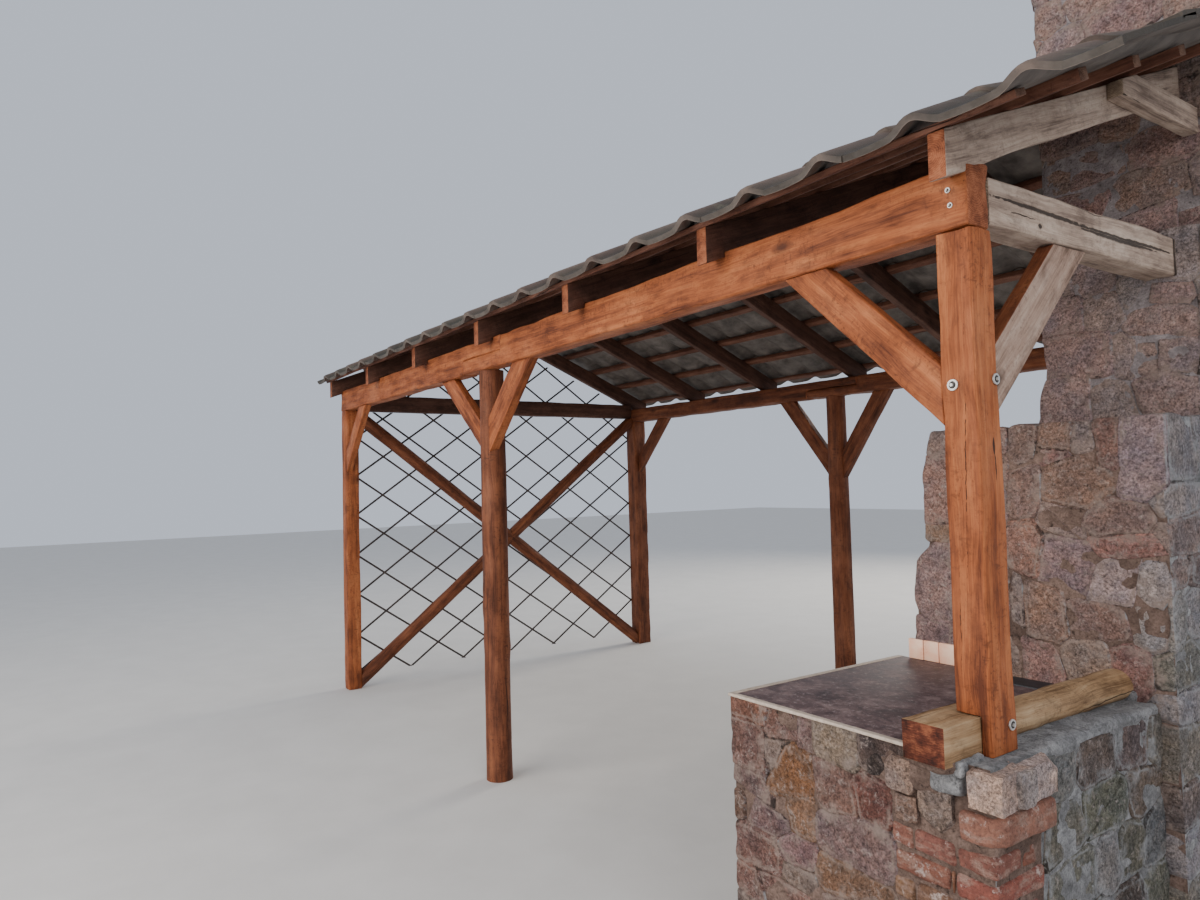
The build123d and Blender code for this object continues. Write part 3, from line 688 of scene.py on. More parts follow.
def set_camera():
    """The camera at the photograph's place and angle, taken from the near front post."""
    eye = Vector((X_NEAR + EYE_PAST_POST, Y_FRONT - EYE_BEFORE_POST, EYE_HEIGHT))
    level = Vector((-math.sin(YAW), math.cos(YAW), 0))
    right = Vector((math.cos(YAW), math.sin(YAW), 0))
    ahead = level * math.cos(PITCH) + UP * math.sin(PITCH)
    upward = UP * math.cos(PITCH) - level * math.sin(PITCH)
    right_rolled = right * math.cos(ROLL) + upward * math.sin(ROLL)
    up_rolled = upward * math.cos(ROLL) - right * math.sin(ROLL)
    lens = bpy.data.cameras.new("camera")
    lens.lens = FOCAL_LENGTH
    lens.sensor_width = SENSOR_WIDTH
    camera = add_object("camera", lens)
    camera.matrix_world = Matrix((
        (right_rolled.x, up_rolled.x, -ahead.x, eye.x),
        (right_rolled.y, up_rolled.y, -ahead.y, eye.y),
        (right_rolled.z, up_rolled.z, -ahead.z, eye.z),
        (0, 0, 0, 1)))
    bpy.context.scene.camera = camera


def studio():
    """Pale floor, soft light and the camera."""
    bm = bmesh.new()
    bmesh.ops.create_grid(bm, x_segments=1, y_segments=1, size=FLOOR_REACH)
    mesh = bpy.data.meshes.new("floor")
    bm.to_mesh(mesh)
    bm.free()
    mesh.materials.append(plain_finish("floor", (0.62, 0.60, 0.57), (0.66, 0.64, 0.61), 0.8, 0.0, 3.0, 0.0))
    add_object("floor", mesh)

    world = bpy.data.worlds.new("soft_room")
    bpy.context.scene.world = world
    world.use_nodes = True
    world.node_tree.nodes["Background"].inputs[0].default_value = SKY_TINT
    world.node_tree.nodes["Background"].inputs[1].default_value = SKY_STRENGTH

    for name, (place, aim, size, power, tint) in LAMPS.items():
        lamp = bpy.data.lights.new(name, "AREA")
        lamp.size = size
        lamp.energy = power
        lamp.color = tint
        holder = add_object(name, lamp)
        holder.location = place
        holder.rotation_euler = (Vector(aim) - Vector(place)).to_track_quat("-Z", "Y").to_euler()

    set_camera()


# The timber frame

LOG_STEP = 0.045
SWELLING_LENGTH, SWELLING_ANGLE = 0.045, 0.45
END_FADE = 0.03


def round_log(name, node, along, finishes, knots, wander=0.004):
    """A peeled log: slightly crooked, with swellings where branches were."""
    bm = solid_copy(node, 0.2)
    along, side, third = grain_axes(along)
    for face in bm.faces:
        face.material_index = 1 if abs(face.normal.dot(along)) > 0.98 else 0
    low, high = span(bm.verts, along)
    cut_across(bm, along, low, high, LOG_STEP)
    bm.normal_update()
    middle = [sum(span(bm.verts, d)) / 2 for d in (side, third)]
    swellings = [
        (draw.uniform(low + 0.1, high - 0.1), draw.uniform(0, 2 * math.pi), draw.uniform(0.003, 0.007))
        for _ in range(knots)]
    off = somewhere(40)
    moves = []
    for v in bm.verts:
        height = v.co.dot(along)
        turn = math.atan2(v.co.dot(third) - middle[1], v.co.dot(side) - middle[0])
        side_share, third_share = math.cos(turn), math.sin(turn)
        push = noise.noise(Vector((height * 1.6, side_share, third_share)) + off) * wander
        push += noise.noise(Vector((height * 6, side_share * 2.4, third_share * 2.4)) + off) * wander * 0.5
        for place, angle, size in swellings:
            gap = (turn - angle + math.pi) % (2 * math.pi) - math.pi
            push += size * math.exp(-((height - place) / SWELLING_LENGTH) ** 2 - (gap / SWELLING_ANGLE) ** 2)
        fade = min(1.0, (height - low) / END_FADE, (high - height) / END_FADE)
        moves.append((side * side_share + third * third_share) * push * max(fade, 0.0))
    for v, move in zip(bm.verts, moves):
        v.co += move
    write_grain(bm, along)
    return piece_from(bm, name, finishes, [node], 50)


def crossed_logs(finishes):
    """The two thin round logs that cross at the far end."""
    low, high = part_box("cross_log_rising")
    for node, lean in (("cross_log_rising", 1), ("cross_log_falling", -1)):
        bm = solid_copy(node, 0.2)
        along = Vector((0, high.y - low.y, lean * (high.z - low.z))).normalized()
        cut_across(bm, along, *span(bm.verts, along), 0.06)
        bm.normal_update()
        off = Vector((draw.uniform(0, 40), 0, 0))
        for v in bm.verts:
            v.co += v.normal * noise.noise(v.co * 5 + off) * 0.003
        for face in bm.faces:
            face.material_index = 0
        write_grain(bm, along)
        piece_from(bm, node + "_round", finishes, [node], 40)


def build_frame():
    """Posts, plates, beams, braces and crossed logs."""
    stained = [STAINED, STAINED_END]
    # deep: the stain painted darker as shade, for the timbers at the back and in the middle.
    deep = [SHADED_STAINED, STAINED_END]
    weathered = [WEATHERED, WEATHERED_END]
    timber("front_far_post", "post_front_far", UP, stained, 0.010, 0.003)
    timber("front_near_post", "post_front_near", UP, stained, 0.007, 0.0025, 0.05)
    timber("back_far_post", "post_back_far", UP, deep, 0.022, 0.004)
    timber("back_near_post", "post_back_near", UP, deep, 0.022, 0.004)
    round_log("front_mid_post", "post_front_mid", UP, deep, 11)
    round_log("back_mid_post", "post_back_mid", UP, deep, 9)
    for end in ("far", "near"):
        plate = timber(f"front_plate_{end}", f"plate_front_{end}", ACROSS, stained,
                       0.009, 0.005)
        timber(f"back_plate_{end}", f"plate_back_{end}", ACROSS, deep, 0.016, 0.005)
    swelling_start, swelling = X_NEAR - 0.42, 0.013
    plate_low, plate_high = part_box("plate_front_near")
    for v in plate.data.vertices:
        if v.co.x > swelling_start and v.co.z > (plate_low.z + plate_high.z) / 2:
            v.co.z += swelling * (v.co.x - swelling_start) / (X_NEAR - swelling_start)
    timber("far_tie_beam", "tie_beam_far", DEEP, [DARK, DARK_END], 0.008, 0.003)
    timber("near_beam_front", "beam_near_front", DEEP, weathered, 0.009, 0.004, 0.05)
    timber("near_beam_back", "beam_near_back", DEEP, weathered, 0.007, 0.003)
    timber("near_collar", "collar_near", DEEP, weathered, 0.004, 0.0015)
    for row, finishes in (("front", stained), ("back", deep)):
        for place, lean in (("far", 1), ("mid_left", -1), ("mid_right", 1), ("near", -1)):
            node = f"brace_{row}_{place}"
            low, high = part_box(node)
            timber(node + "_plank", node, (lean * (high.x - low.x), 0, high.z - low.z),
                   finishes, 0.005, 0.002, 0.06)
    low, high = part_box("brace_near_end")
    brace = timber("brace_near_end_plank", "brace_near_end", (0, high.y - low.y, high.z - low.z),
                   [BRACE, WEATHERED_END, SHADED_STAINED], 0.005, 0.002, 0.06)
    # The brace's front upper face gets the painted-shade stain: its own red stain, painted darker as the
    # shade it stands in.
    for polygon in brace.data.polygons:
        if polygon.normal.z - polygon.normal.y > 0.9:
            polygon.material_index = 2
    crossed_logs(deep)


LATTICE_COLUMNS = 6
LATH_RISE = 0.70
LATH_WIDTH = 0.0160
LATH_ARRIS = 0.0018


def lath_panel(name, node, corners):
    """Two layers of thin laths, one leaning each way, cut to the outline."""
    low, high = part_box(node)
    across, up = [y for y, z in corners], [z for y, z in corners]
    base, top, left = min(up), max(up), min(across)
    pitch = (max(across) - left) / LATTICE_COLUMNS
    lean = (top - base) / LATH_RISE
    middle = Vector((0, sum(across) / len(corners), sum(up) / len(corners)))
    depth = (high.x - low.x) / 2
    before = math.ceil(lean / pitch)
    bm = bmesh.new()
    for k in range(-before, LATTICE_COLUMNS + before + 1):
        foot = left + k * pitch
        for face, slope in ((low.x + depth * 0.5, 1), (low.x + depth * 1.5, -1)):
            lath = bmesh.new()
            bmesh.ops.create_cube(lath, size=1)
            bmesh.ops.scale(lath, verts=lath.verts, vec=(depth, 2 * (top - base) * 1.6, LATH_WIDTH))
            bevel(lath, [e for e in lath.edges if abs((e.verts[0].co - e.verts[1].co).y) > 1], LATH_ARRIS, 1)
            turn = Matrix.Rotation(math.atan(LATH_RISE) * slope + draw.uniform(-0.006, 0.006), 4, "X")
            bmesh.ops.transform(lath, matrix=turn, verts=lath.verts)
            place_y = foot + slope * lean / 2 + draw.uniform(-0.004, 0.004)
            bmesh.ops.translate(lath, verts=lath.verts, vec=(face, place_y, (base + top) / 2))
            for (y0, z0), (y1, z1) in zip(corners, corners[1:] + corners[:1]):
                square = Vector((0, z1 - z0, y0 - y1)).normalized()
                if (middle - Vector((0, y0, z0))).dot(square) > 0:
                    square = -square
                cut_off(lath, (0, y0, z0), square)
            if lath.verts and max(v.co.z for v in lath.verts) - min(v.co.z for v in lath.verts) > 0.03:
                merge(bm, lath)
            else:
                lath.free()
    return piece_from(bm, name, [LATH], [node], 25)


def build_lattice():
    """The diamond lattice below the tie and in the gable above it."""
    low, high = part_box("lattice_lower")
    lath_panel("lower_lattice", "lattice_lower",
               [(low.y, low.z), (high.y, low.z), (high.y, high.z), (low.y, high.z)])
    tie_low, tie_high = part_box("tie_beam_far")
    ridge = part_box("lattice_gable")[1].z
    lath_panel("gable_lattice", "lattice_gable",
               [(tie_low.y, tie_high.z), (tie_high.y - 0.02, tie_high.z), (0.0, ridge),
                (tie_low.y, tie_high.z + 0.045)])


# The roof

FRONT_RISE, BACK_RISE = 0.37986, 0.42844
SLOPES = ((-1, "front", FRONT_RISE), (1, "back", BACK_RISE))
RAFTER_LIFT, SEAT_REACH, LIFT_FADE = 0.011, 0.06, 0.12


def build_roof_timbers():
    """Rafters and battens along their own grain. The near rafter's underside is lifted between its seats."""
    for side, tag, rise in SLOPES:
        run = (0, -side, rise)
        bm = solid_copy(f"rafters_{tag}")
        hew(bm, run, 0.004, 0.002, 0.12, False)
        near = [v for v in bm.verts if v.co.x > X_NEAR - 0.08]
        level = [v.co.z + side * rise * v.co.y for v in near]
        middle = (min(level) + max(level)) / 2
        for v, height in zip(near, level):
            if height < middle:
                from_plate = abs(abs(v.co.y) - Y_BACK)
                v.co.z += RAFTER_LIFT * min(max((from_plate - SEAT_REACH) / LIFT_FADE, 0.0), 1.0)
        write_grain(bm, run)
        made = piece_from(bm, f"{tag}_rafters", [DARK, DARK_END, WEATHERED, STAINED_END],
                          [f"rafters_{tag}"])
        for polygon in made.data.polygons:
            if polygon.center.x > X_NEAR - 0.06:
                polygon.material_index = 2
            if side < 0 and polygon.center.y < Y_FRONT + 0.002 and polygon.normal.y < -0.5:
                polygon.material_index = 3
        bm = solid_copy(f"battens_{tag}")
        hew(bm, ACROSS, 0.003, 0.003, 0.16, False)
        write_grain(bm, ACROSS)
        piece_from(bm, f"{tag}_battens", [BATTEN, BATTEN_END], [f"battens_{tag}"])


TILE_WIDTH = 0.300
TILE_GAUGE = 0.335
TILE_LAP = 0.080
TILE_BODY = 0.014
ROLL_WIDTH = 0.156
ROLL_HEIGHT = 0.031
FIRST_ROLL = 0.200
COURSE_LIFT = 0.010
EAVE_DROP = 0.0183
PAN_SAG = 0.003
LIP_REACH, LIP_DROP, LIP_FRONT = 0.004, 0.006, 0.002
RIDGE_LENGTH, RIDGE_LAP, RIDGE_BODY = 0.38, 0.035, 0.016
RIDGE_ROUNDING, RIDGE_TILT = 0.030, 0.012
TILE_TINT = (0.090, 0.067, 0.052)


def tile_layers(bm):
    """What a tile's finish reads: its tint, its lower rim and the crest of its roll."""
    floats = bm.verts.layers.float
    return bm.verts.layers.float_color.new("tint"), floats.new("rim"), floats.new("crest")


def tile_shape():
    """One tile, x across and y up the slope: a flat pan, a roll at its near side and a thick lower edge."""
    bm = bmesh.new()
    bmesh.ops.create_grid(bm, x_segments=20, y_segments=4, size=0.5)
    wide, long = TILE_WIDTH + 0.004, TILE_GAUGE + TILE_LAP
    bmesh.ops.scale(bm, verts=bm.verts, vec=(wide, long, 1))
    bmesh.ops.translate(bm, verts=bm.verts, vec=(ROLL_WIDTH / 2 + 0.002 - wide / 2, long / 2, 0))
    lower_rows = {0.25: 0.012, 0.5: 0.15}
    for v in bm.verts:
        v.co.y = lower_rows.get(round(v.co.y / long, 2), v.co.y)
        across = abs(v.co.x) / (ROLL_WIDTH / 2)
        if across < 1:
            v.co.z = ROLL_HEIGHT * (0.5 + 0.5 * math.cos(math.pi * across)) ** 0.85
            if v.co.x > 0:
                v.co.z += PAN_SAG * across
        else:
            past_roll = abs(v.co.x) - ROLL_WIDTH / 2
            v.co.z = -PAN_SAG * math.sin(math.pi * past_roll / (TILE_WIDTH - ROLL_WIDTH))
    if sum(f.normal.z for f in bm.faces) < 0:
        bmesh.ops.reverse_faces(bm, faces=bm.faces)
    bm.normal_update()
    bmesh.ops.solidify(bm, geom=bm.faces[:], thickness=TILE_BODY)
    bmesh.ops.recalc_face_normals(bm, faces=bm.faces)
    low = min(v.co.z for v in bm.verts)
    bmesh.ops.translate(bm, verts=bm.verts, vec=(0, 0, TILE_BODY if low < -TILE_BODY / 2 else 0))
    rim, crest = tile_layers(bm)[1:]
    bm.normal_update()
    for v in bm.verts:
        v[crest] = 0.5 + 0.5 * math.cos(math.pi * min(abs(v.co.x) / (ROLL_WIDTH / 2), 1.0))
        if v.co.y < LIP_REACH:
            if v.normal.z < 0:
                v[rim] = 1.0
                v.co.z -= LIP_DROP
            else:
                v.co.z -= LIP_FRONT
                v.co.y -= LIP_FRONT
    return bm


def lay_tiles(pattern, side, tag, rise):
    """Overlapping courses of tiles on one slope, left open round the chimney."""
    stack_low, stack_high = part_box("chimney_stack")
    low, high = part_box(f"roof_{tag}")
    slope = math.atan(rise)
    up_slope = Vector((0, -side * math.cos(slope), math.sin(slope)))
    square = Vector((0, side * math.sin(slope), math.cos(slope)))
    frame_turn = Matrix(((1, 0, 0), (0, up_slope.y, square.y), (0, up_slope.z, square.z)))
    crest = TILE_BODY + ROLL_HEIGHT - EAVE_DROP
    edge_y = (low.y if side < 0 else high.y) - side * crest * math.sin(slope)
    eave = Vector((0, edge_y, low.z + EAVE_DROP * math.cos(slope)))
    length = abs(edge_y) / math.cos(slope)
    bm = bmesh.new()
    tile_layers(bm)
    for course in range(round(length / TILE_GAUGE)):
        tilt, lift = -COURSE_LIFT / (TILE_GAUGE + TILE_LAP), COURSE_LIFT
        if course == 0:
            tilt, lift = EAVE_DROP / (TILE_GAUGE + 0.074), -EAVE_DROP
        for column in range(math.ceil((high.x - low.x) / TILE_WIDTH) + 1):
            start = eave + up_slope * (course * TILE_GAUGE + draw.uniform(-0.004, 0.002)) + square * lift
            start.x = high.x - FIRST_ROLL - column * TILE_WIDTH + TILE_WIDTH
            lean = Matrix.Rotation(tilt + draw.uniform(-0.003, 0.003), 3, "X")
            twist = Matrix.Rotation(draw.uniform(-0.005, 0.005), 3, "Z")
            one = pattern.copy()
            for v in one.verts:
                local = lean @ (twist @ v.co)
                local.y = min(local.y, length - course * TILE_GAUGE - 0.004)
                v.co = frame_turn @ local + start
            middle = sum((v.co for v in one.verts), Vector()) / len(one.verts)
            if stack_low.x < middle.x < stack_high.x and stack_low.y < middle.y < stack_high.y:
                one.free()
                continue
            if side > 0:
                bmesh.ops.reverse_faces(one, faces=one.faces)
            shade = draw.uniform(0.72, 1.25)
            warm = draw.uniform(0.92, 1.15)
            tint = one.verts.layers.float_color["tint"]
            for v in one.verts:
                v[tint] = (TILE_TINT[0] * shade * warm, TILE_TINT[1] * shade, TILE_TINT[2] * shade, 1)
            merge(bm, one)
    for end_x, away in ((low.x, -1), (high.x, 1)):
        cut_off(bm, (end_x, 0, 0), (away, 0, 0))
    piece_from(bm, f"{tag}_tiles", [TILE], [f"roof_{tag}"], 40)


def build_tiles():
    """The tiles of both slopes."""
    pattern = tile_shape()
    for side, tag, rise in SLOPES:
        lay_tiles(pattern, side, tag, rise)
    pattern.free()


def ridge_tile(start, cover, long, low, high):
    """One ridge tile over both slopes, from its start to its lap under the next."""
    one = bmesh.new()
    bmesh.ops.create_grid(one, x_segments=3, y_segments=10, size=0.5)
    bmesh.ops.scale(one, verts=one.verts, vec=(long, high.y - low.y, 1))
    bmesh.ops.translate(one, verts=one.verts, vec=(start + long / 2, (low.y + high.y) / 2, 0))
    for v in one.verts:
        slope = FRONT_RISE if v.co.y < 0 else BACK_RISE
        fall = slope * (math.sqrt(v.co.y ** 2 + RIDGE_ROUNDING ** 2) - 0.012)
        rise = RIDGE_TILT * ((v.co.x - start) / cover) - RIDGE_TILT / 2
        v.co.z = high.z - fall - 0.002 + rise
    bmesh.ops.recalc_face_normals(one, faces=one.faces)
    if sum(f.normal.z for f in one.faces) < 0:
        bmesh.ops.reverse_faces(one, faces=one.faces)
    bmesh.ops.solidify(one, geom=one.faces[:], thickness=RIDGE_BODY)
    bmesh.ops.recalc_face_normals(one, faces=one.faces)
    tint, rim, crest = tile_layers(one)
    shade = draw.uniform(0.75, 1.2)
    for v in one.verts:
        v[tint] = (*(c * shade for c in TILE_TINT), 1)
        v[rim] = 1.0 if v.co.x < start + 0.003 else 0.0
        v[crest] = max(0.0, 1.0 - abs(v.co.y) / 0.12)
    return one


def build_ridge():
    """Ridge tiles, each lapped over the next."""
    low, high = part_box("ridge_cap")
    stack_low, stack_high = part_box("chimney_stack")
    bm = bmesh.new()
    tile_layers(bm)
    for start, end in ((low.x, stack_low.x), (stack_high.x, high.x)):
        count = max(1, round((end - start) / RIDGE_LENGTH))
        cover = (end - start) / count
        for k in range(count):
            long = cover + (0 if k == count - 1 else RIDGE_LAP)
            merge(bm, ridge_tile(start + cover * k, cover, long, low, high))
    piece_from(bm, "ridge_tiles", [TILE], ["ridge_cap"], 40)


# Stonework

# The blue, green and pearl tints are painted sky light and glare: cool stones on the near side and at the
# right of the stove and breast.
TINTS = {
    "pink": (0.215, 0.130, 0.108), "pale": (0.26, 0.195, 0.155), "ochre": (0.190, 0.118, 0.076),
    "rust": (0.195, 0.096, 0.050), "orange": (0.225, 0.118, 0.078), "brown": (0.165, 0.105, 0.082),
    "red": (0.185, 0.090, 0.070), "purple": (0.195, 0.135, 0.126), "grey": (0.175, 0.142, 0.122),
    "dark": (0.095, 0.075, 0.067), "pinkpurple": (0.215, 0.145, 0.135), "blue": (0.185, 0.190, 0.192),
    "green": (0.145, 0.152, 0.122), "brick": (0.225, 0.112, 0.083), "lilac": (0.29, 0.225, 0.235),
    "pearl": (0.26, 0.265, 0.275),
}
MIXED = ["pink", "brown", "ochre", "brown", "red", "purple", "purple", "grey", "grey", "pinkpurple",
         "pink", "brown"]
# The near side's cool palette is painted sky light on that side.
NEAR_SIDE = ["grey", "green", "blue", "green", "green", "grey", "blue", "dark", "green"]

# The faces of a block, each as (axis, side).
LEFT_FACE, NEAR_FACE, FRONT_FACE, BACK_FACE = (0, -1), (0, 1), (1, -1), (1, 1)
AXES = (ACROSS, DEEP, UP)

LEAST_COURSE, LEAST_STONE = 0.06, 0.05
FIRST_STONE_CUT = 0.12
BED_WOBBLE = 0.02
NEIGHBOUR_REACH = 0.62
JOINT_TURN = 0.42


def outward(face):
    """The direction a block's face looks in."""
    out = Vector((0, 0, 0))
    out[face[0]] = face[1]
    return out


class Site:
    """A stone's core, as a box, with the reach of its rounding. A thick one goes round the block's corner."""

    def __init__(self, low, high, tint, face, thick=0.0):
        self.low, self.high = Vector(low), Vector(high)
        self.tint = tint
        self.face = face
        self.thick = thick
        size = sorted(b - a for a, b in zip(self.low, self.high) if b - a > 1e-6)
        self.reach = max((size[0] if size else 0.08) / 2, 0.02)
        shrink = self.reach * 0.92
        for k in range(3):
            if self.high[k] - self.low[k] > 1e-6:
                a, b = self.low[k] + shrink, self.high[k] - shrink
                if a > b:
                    a = b = (a + b) / 2
                self.low[k], self.high[k] = a, b
        self.middle = (self.low + self.high) / 2


def nearest(one, other):
    """The closest points of two cores."""
    a, b = Vector(), Vector()
    for k in range(3):
        lo, hi = max(one.low[k], other.low[k]), min(one.high[k], other.high[k])
        if lo <= hi:
            a[k] = b[k] = (lo + hi) / 2
        elif one.high[k] < other.low[k]:
            a[k], b[k] = one.high[k], other.low[k]
        else:
            a[k], b[k] = one.low[k], other.high[k]
    return a, b


def surface_at(tree, low, high, face, box_low, box_high):
    """Where the block's real surface is in front of a place on one of its faces, or None."""
    axis, side = face
    middle = (Vector(low) + Vector(high)) / 2
    middle[axis] = box_high[axis] + 0.5 if side > 0 else box_low[axis] - 0.5
    hit = tree.ray_cast(middle, -outward(face))[0]
    return hit[axis] if hit is not None else None


def lay_courses(node, face, tints, course=(0.10, 0.17), width=(0.13, 0.30), first=None):
    """Random rubble courses over one face of a block."""
    block = solid_copy(node)
    box_low, box_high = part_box(node)
    box_low = Vector(box_low)
    tree = BVHTree.FromBMesh(block)
    block.free()
    axis = face[0]
    along = 1 - axis
    if first is not None:
        box_low[along] = first
    sites = []
    z = box_low.z
    while z < box_high.z - 0.04:
        rise = min(draw.uniform(*course), box_high.z - z)
        if box_high.z - z - rise < LEAST_COURSE:
            rise = box_high.z - z
        s = box_low[along] - draw.uniform(0, FIRST_STONE_CUT)
        while s < box_high[along]:
            wide = draw.uniform(*width)
            s0, s1 = max(s, box_low[along]), min(s + wide, box_high[along])
            if s1 - s0 > LEAST_STONE:
                low = [0, 0, z + draw.uniform(-BED_WOBBLE, BED_WOBBLE)]
                high = [0, 0, z + rise + draw.uniform(-BED_WOBBLE, BED_WOBBLE)]
                low[along], high[along] = s0, s1
                flat = surface_at(tree, low, high, face, box_low, box_high)
                if flat is not None:
                    low[axis] = high[axis] = flat
                    sites.append(Site(low, high, draw.choice(tints), face))
            s += wide
        z += rise
    return sites


def block_copy(node, top=None):
    """A block's solid, its top brought to another height where one is given."""
    bm = solid_copy(node)
    if top is not None:
        for v in bm.verts:
            if v.co.z > top - 0.05:
                v.co.z = top
    return bm


def facet(bm, out, count, least, most):
    """Strikes flat facets off the outer face of a stone."""
    for _ in range(count):
        tilt = Vector([draw.uniform(-0.34, 0.34) for _ in range(3)])
        square = (out + tilt).normalized()
        if not bm.verts:
            return
        cut_off(bm, square * (span(bm.verts, square)[1] - draw.uniform(least, most)), square)


def stone_cell(block, site, sites, joint, depth):
    """The part of the block nearest to one stone's core, cut free of its neighbours."""
    bm = block.copy()
    planes = []
    out = outward(site.face)
    for other in sites:
        if other is site or (other.middle - site.middle).length > NEIGHBOUR_REACH:
            continue
        a, b = nearest(site, other)
        gap = b - a
        if gap.length < 1e-4:
            gap = other.middle - site.middle
            if gap.length < 1e-4:
                continue
            place = (site.middle + other.middle) / 2
        else:
            place = a + gap * (site.reach / (site.reach + other.reach))
        square = gap.normalized()
        if other.face == site.face:
            axis = ACROSS if site.face[0] == 0 else DEEP
            square = Matrix.Rotation(noise.noise(place * 9) * JOINT_TURN, 3, axis) @ square
        planes.append((place - square * joint / 2, square))
    inner_plane = (site.middle - out * (depth + site.thick / 2), -out)
    for place, square in planes + [inner_plane]:
        if not bm.verts:
            break
        cut_off(bm, place, square)
    return bm, planes


def rough_out(bm, rounding, fine, amount, proud, keep=None):
    """Rounds a cell's edges, divides its outer part and gives it a broken face."""
    bmesh.ops.dissolve_limit(bm, angle_limit=0.01, verts=bm.verts, edges=bm.edges)
    bevel(bm, bm.edges[:], rounding)
    bmesh.ops.triangulate(bm, faces=[f for f in bm.faces if len(f.verts) > 4])
    for _ in range(4):
        long = [e for e in bm.edges
                if e.calc_length() > fine and (keep is None or all(keep(v.co) for v in e.verts))]
        if not long:
            break
        bmesh.ops.subdivide_edges(bm, edges=long, cuts=1)
        bmesh.ops.triangulate(bm, faces=[f for f in bm.faces if len(f.verts) > 4])
    bm.normal_update()
    off = somewhere(60)
    moves = []
    for v in bm.verts:
        rough = noise.noise(v.co * 8 + off) * amount + noise.noise(v.co * 27 + off) * amount * 0.55
        rough += abs(noise.noise(v.co * 55 + off)) * amount * 0.3
        moves.append(v.normal * (rough + proud))
    for v, move in zip(bm.verts, moves):
        v.co += move
        v.co.z = max(v.co.z, 0.0)


# How far the left flank swells, as (height, shift) pairs.
FLANK_SHIFTS = {
    "stove_body": ((0.90, 0.0), (1.01, -0.004), (1.13, -0.020), (1.29, -0.032), (1.335, 0.004),
                   (1.36, 0.004), (1.405, -0.010), (1.474, -0.021), (1.56, -0.031), (1.64, -0.045),
                   (1.78, -0.055)),
    "chimney_breast": ((1.78, 0.0), (1.92, 0.012), (1.98, 0.040), (2.12, 0.038), (2.20, 0.020),
                       (2.34, 0.0)),
}
FLANK_REACH = 0.28


def bulge_flank(co, shifts, edge):
    """Moves a place near the left flank of the stove or its breast, which swells from stone to stone."""
    if not shifts:
        return
    share = min((edge + FLANK_REACH - co.x) / FLANK_REACH * 1.3, 1.0)
    height = min(co.z, shifts[-1][0])
    for (z0, shift0), (z1, shift1) in zip(shifts, shifts[1:]):
        if share > 0 and z0 <= height <= z1:
            co.x += share * (shift0 + (shift1 - shift0) * (height - z0) / (z1 - z0))
            return


# Painted light: stone colours are lifted toward this pale tint, standing for the glare over the near end and
# making up for the dim light under the roof.
GLARE_TINT = (0.42, 0.365, 0.365)
STONE_STEP, SELDOM_SEEN_STEP = 0.029, 0.048
LEAST_THICKNESS = 0.03
GAP_SHOWN = 0.05


def extents(verts):
    """How far some vertices reach along each axis."""
    return [high - low for low, high in (span(verts, direction) for direction in AXES)]


def shape_stone(bm, site, node, rounding, depth, proud):
    """Gives a stone's cell blunt corners, facets and a broken face. Bricks stay sharper and flatter."""
    size = extents(bm.verts)
    is_brick = site.tint == "brick"
    axis, side = site.face
    seldom_seen = node == "stove_body" and site.face not in (FRONT_FACE, NEAR_FACE)
    bmesh.ops.dissolve_limit(bm, angle_limit=0.01, verts=bm.verts, edges=bm.edges)
    corners = [e for e in bm.edges
               if abs((e.verts[0].co - e.verts[1].co).normalized()[axis]) > 0.9 and e.is_manifold]
    bevel(bm, corners, sorted(size)[1] * (0.06 if is_brick else draw.uniform(0.10, 0.26)), 3)
    if not is_brick and not site.thick:
        facet(bm, outward(site.face), 2, 0.002, 0.009)
    rounding_here = 0.004 if is_brick else min(rounding * draw.uniform(0.4, 1.4), min(size) * 0.25)
    swell = proud * draw.uniform(0.3, 2.2)
    if site.thick:
        rounding_here, swell = min(size) * 0.16, 0.009
    inner = site.middle[axis] * side - depth * 0.45 - site.thick / 2
    rough_out(bm, rounding_here, SELDOM_SEEN_STEP if seldom_seen else STONE_STEP,
              0.004 if is_brick else 0.0085, swell, lambda co: co[axis] * side > inner)


def build_stones(name, node, sites, depth=0.09, top=None, painted_glare=0.0, joint=0.007, rounding=0.008, proud=0.004):
    """All the stones of one block as one piece. Sites without a tint only keep a place free."""
    block = block_copy(node, top)
    whole = blocks()
    shifts, edge = FLANK_SHIFTS.get(node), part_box(node)[0].x
    for site in sites:
        if site.tint is None:
            continue
        bm, planes = stone_cell(block, site, sites, joint * draw.uniform(0.4, 1.6), depth)
        if len(bm.verts) <= 5 or sorted(extents(bm.verts))[1] < LEAST_THICKNESS:
            bm.free()
            continue
        shape_stone(bm, site, node, rounding, depth, proud)
        tint = bm.verts.layers.float_color.new("tint")
        gap = bm.verts.layers.float.new("gap")
        shade = draw.uniform(0.84, 1.16)
        colour = [c * shade * draw.uniform(0.95, 1.05) for c in TINTS[site.tint]]
        # Painted light: the colour is lifted toward a pale tint, as glare and to make up for dim light.
        colour = [c * (1 + painted_glare) * (1 - painted_glare) + pale * painted_glare for c, pale in zip(colour, GLARE_TINT)]
        for v in bm.verts:
            v[tint] = (*colour, 1)
            room = min([(place - v.co).dot(square) for place, square in planes] + [GAP_SHOWN])
            v[gap] = max(room, 0.0) / GAP_SHOWN
            if top is not None:
                v.co.z = min(v.co.z, top)
            bulge_flank(v.co, shifts, edge)
        merge(whole, bm)
    block.free()
    return piece_from(whole, name, [STONE], [], 50)


PALE_TOP_X, PALE_TOP_Z = 2.40, 1.0
HIGH_MASONRY = 1.5


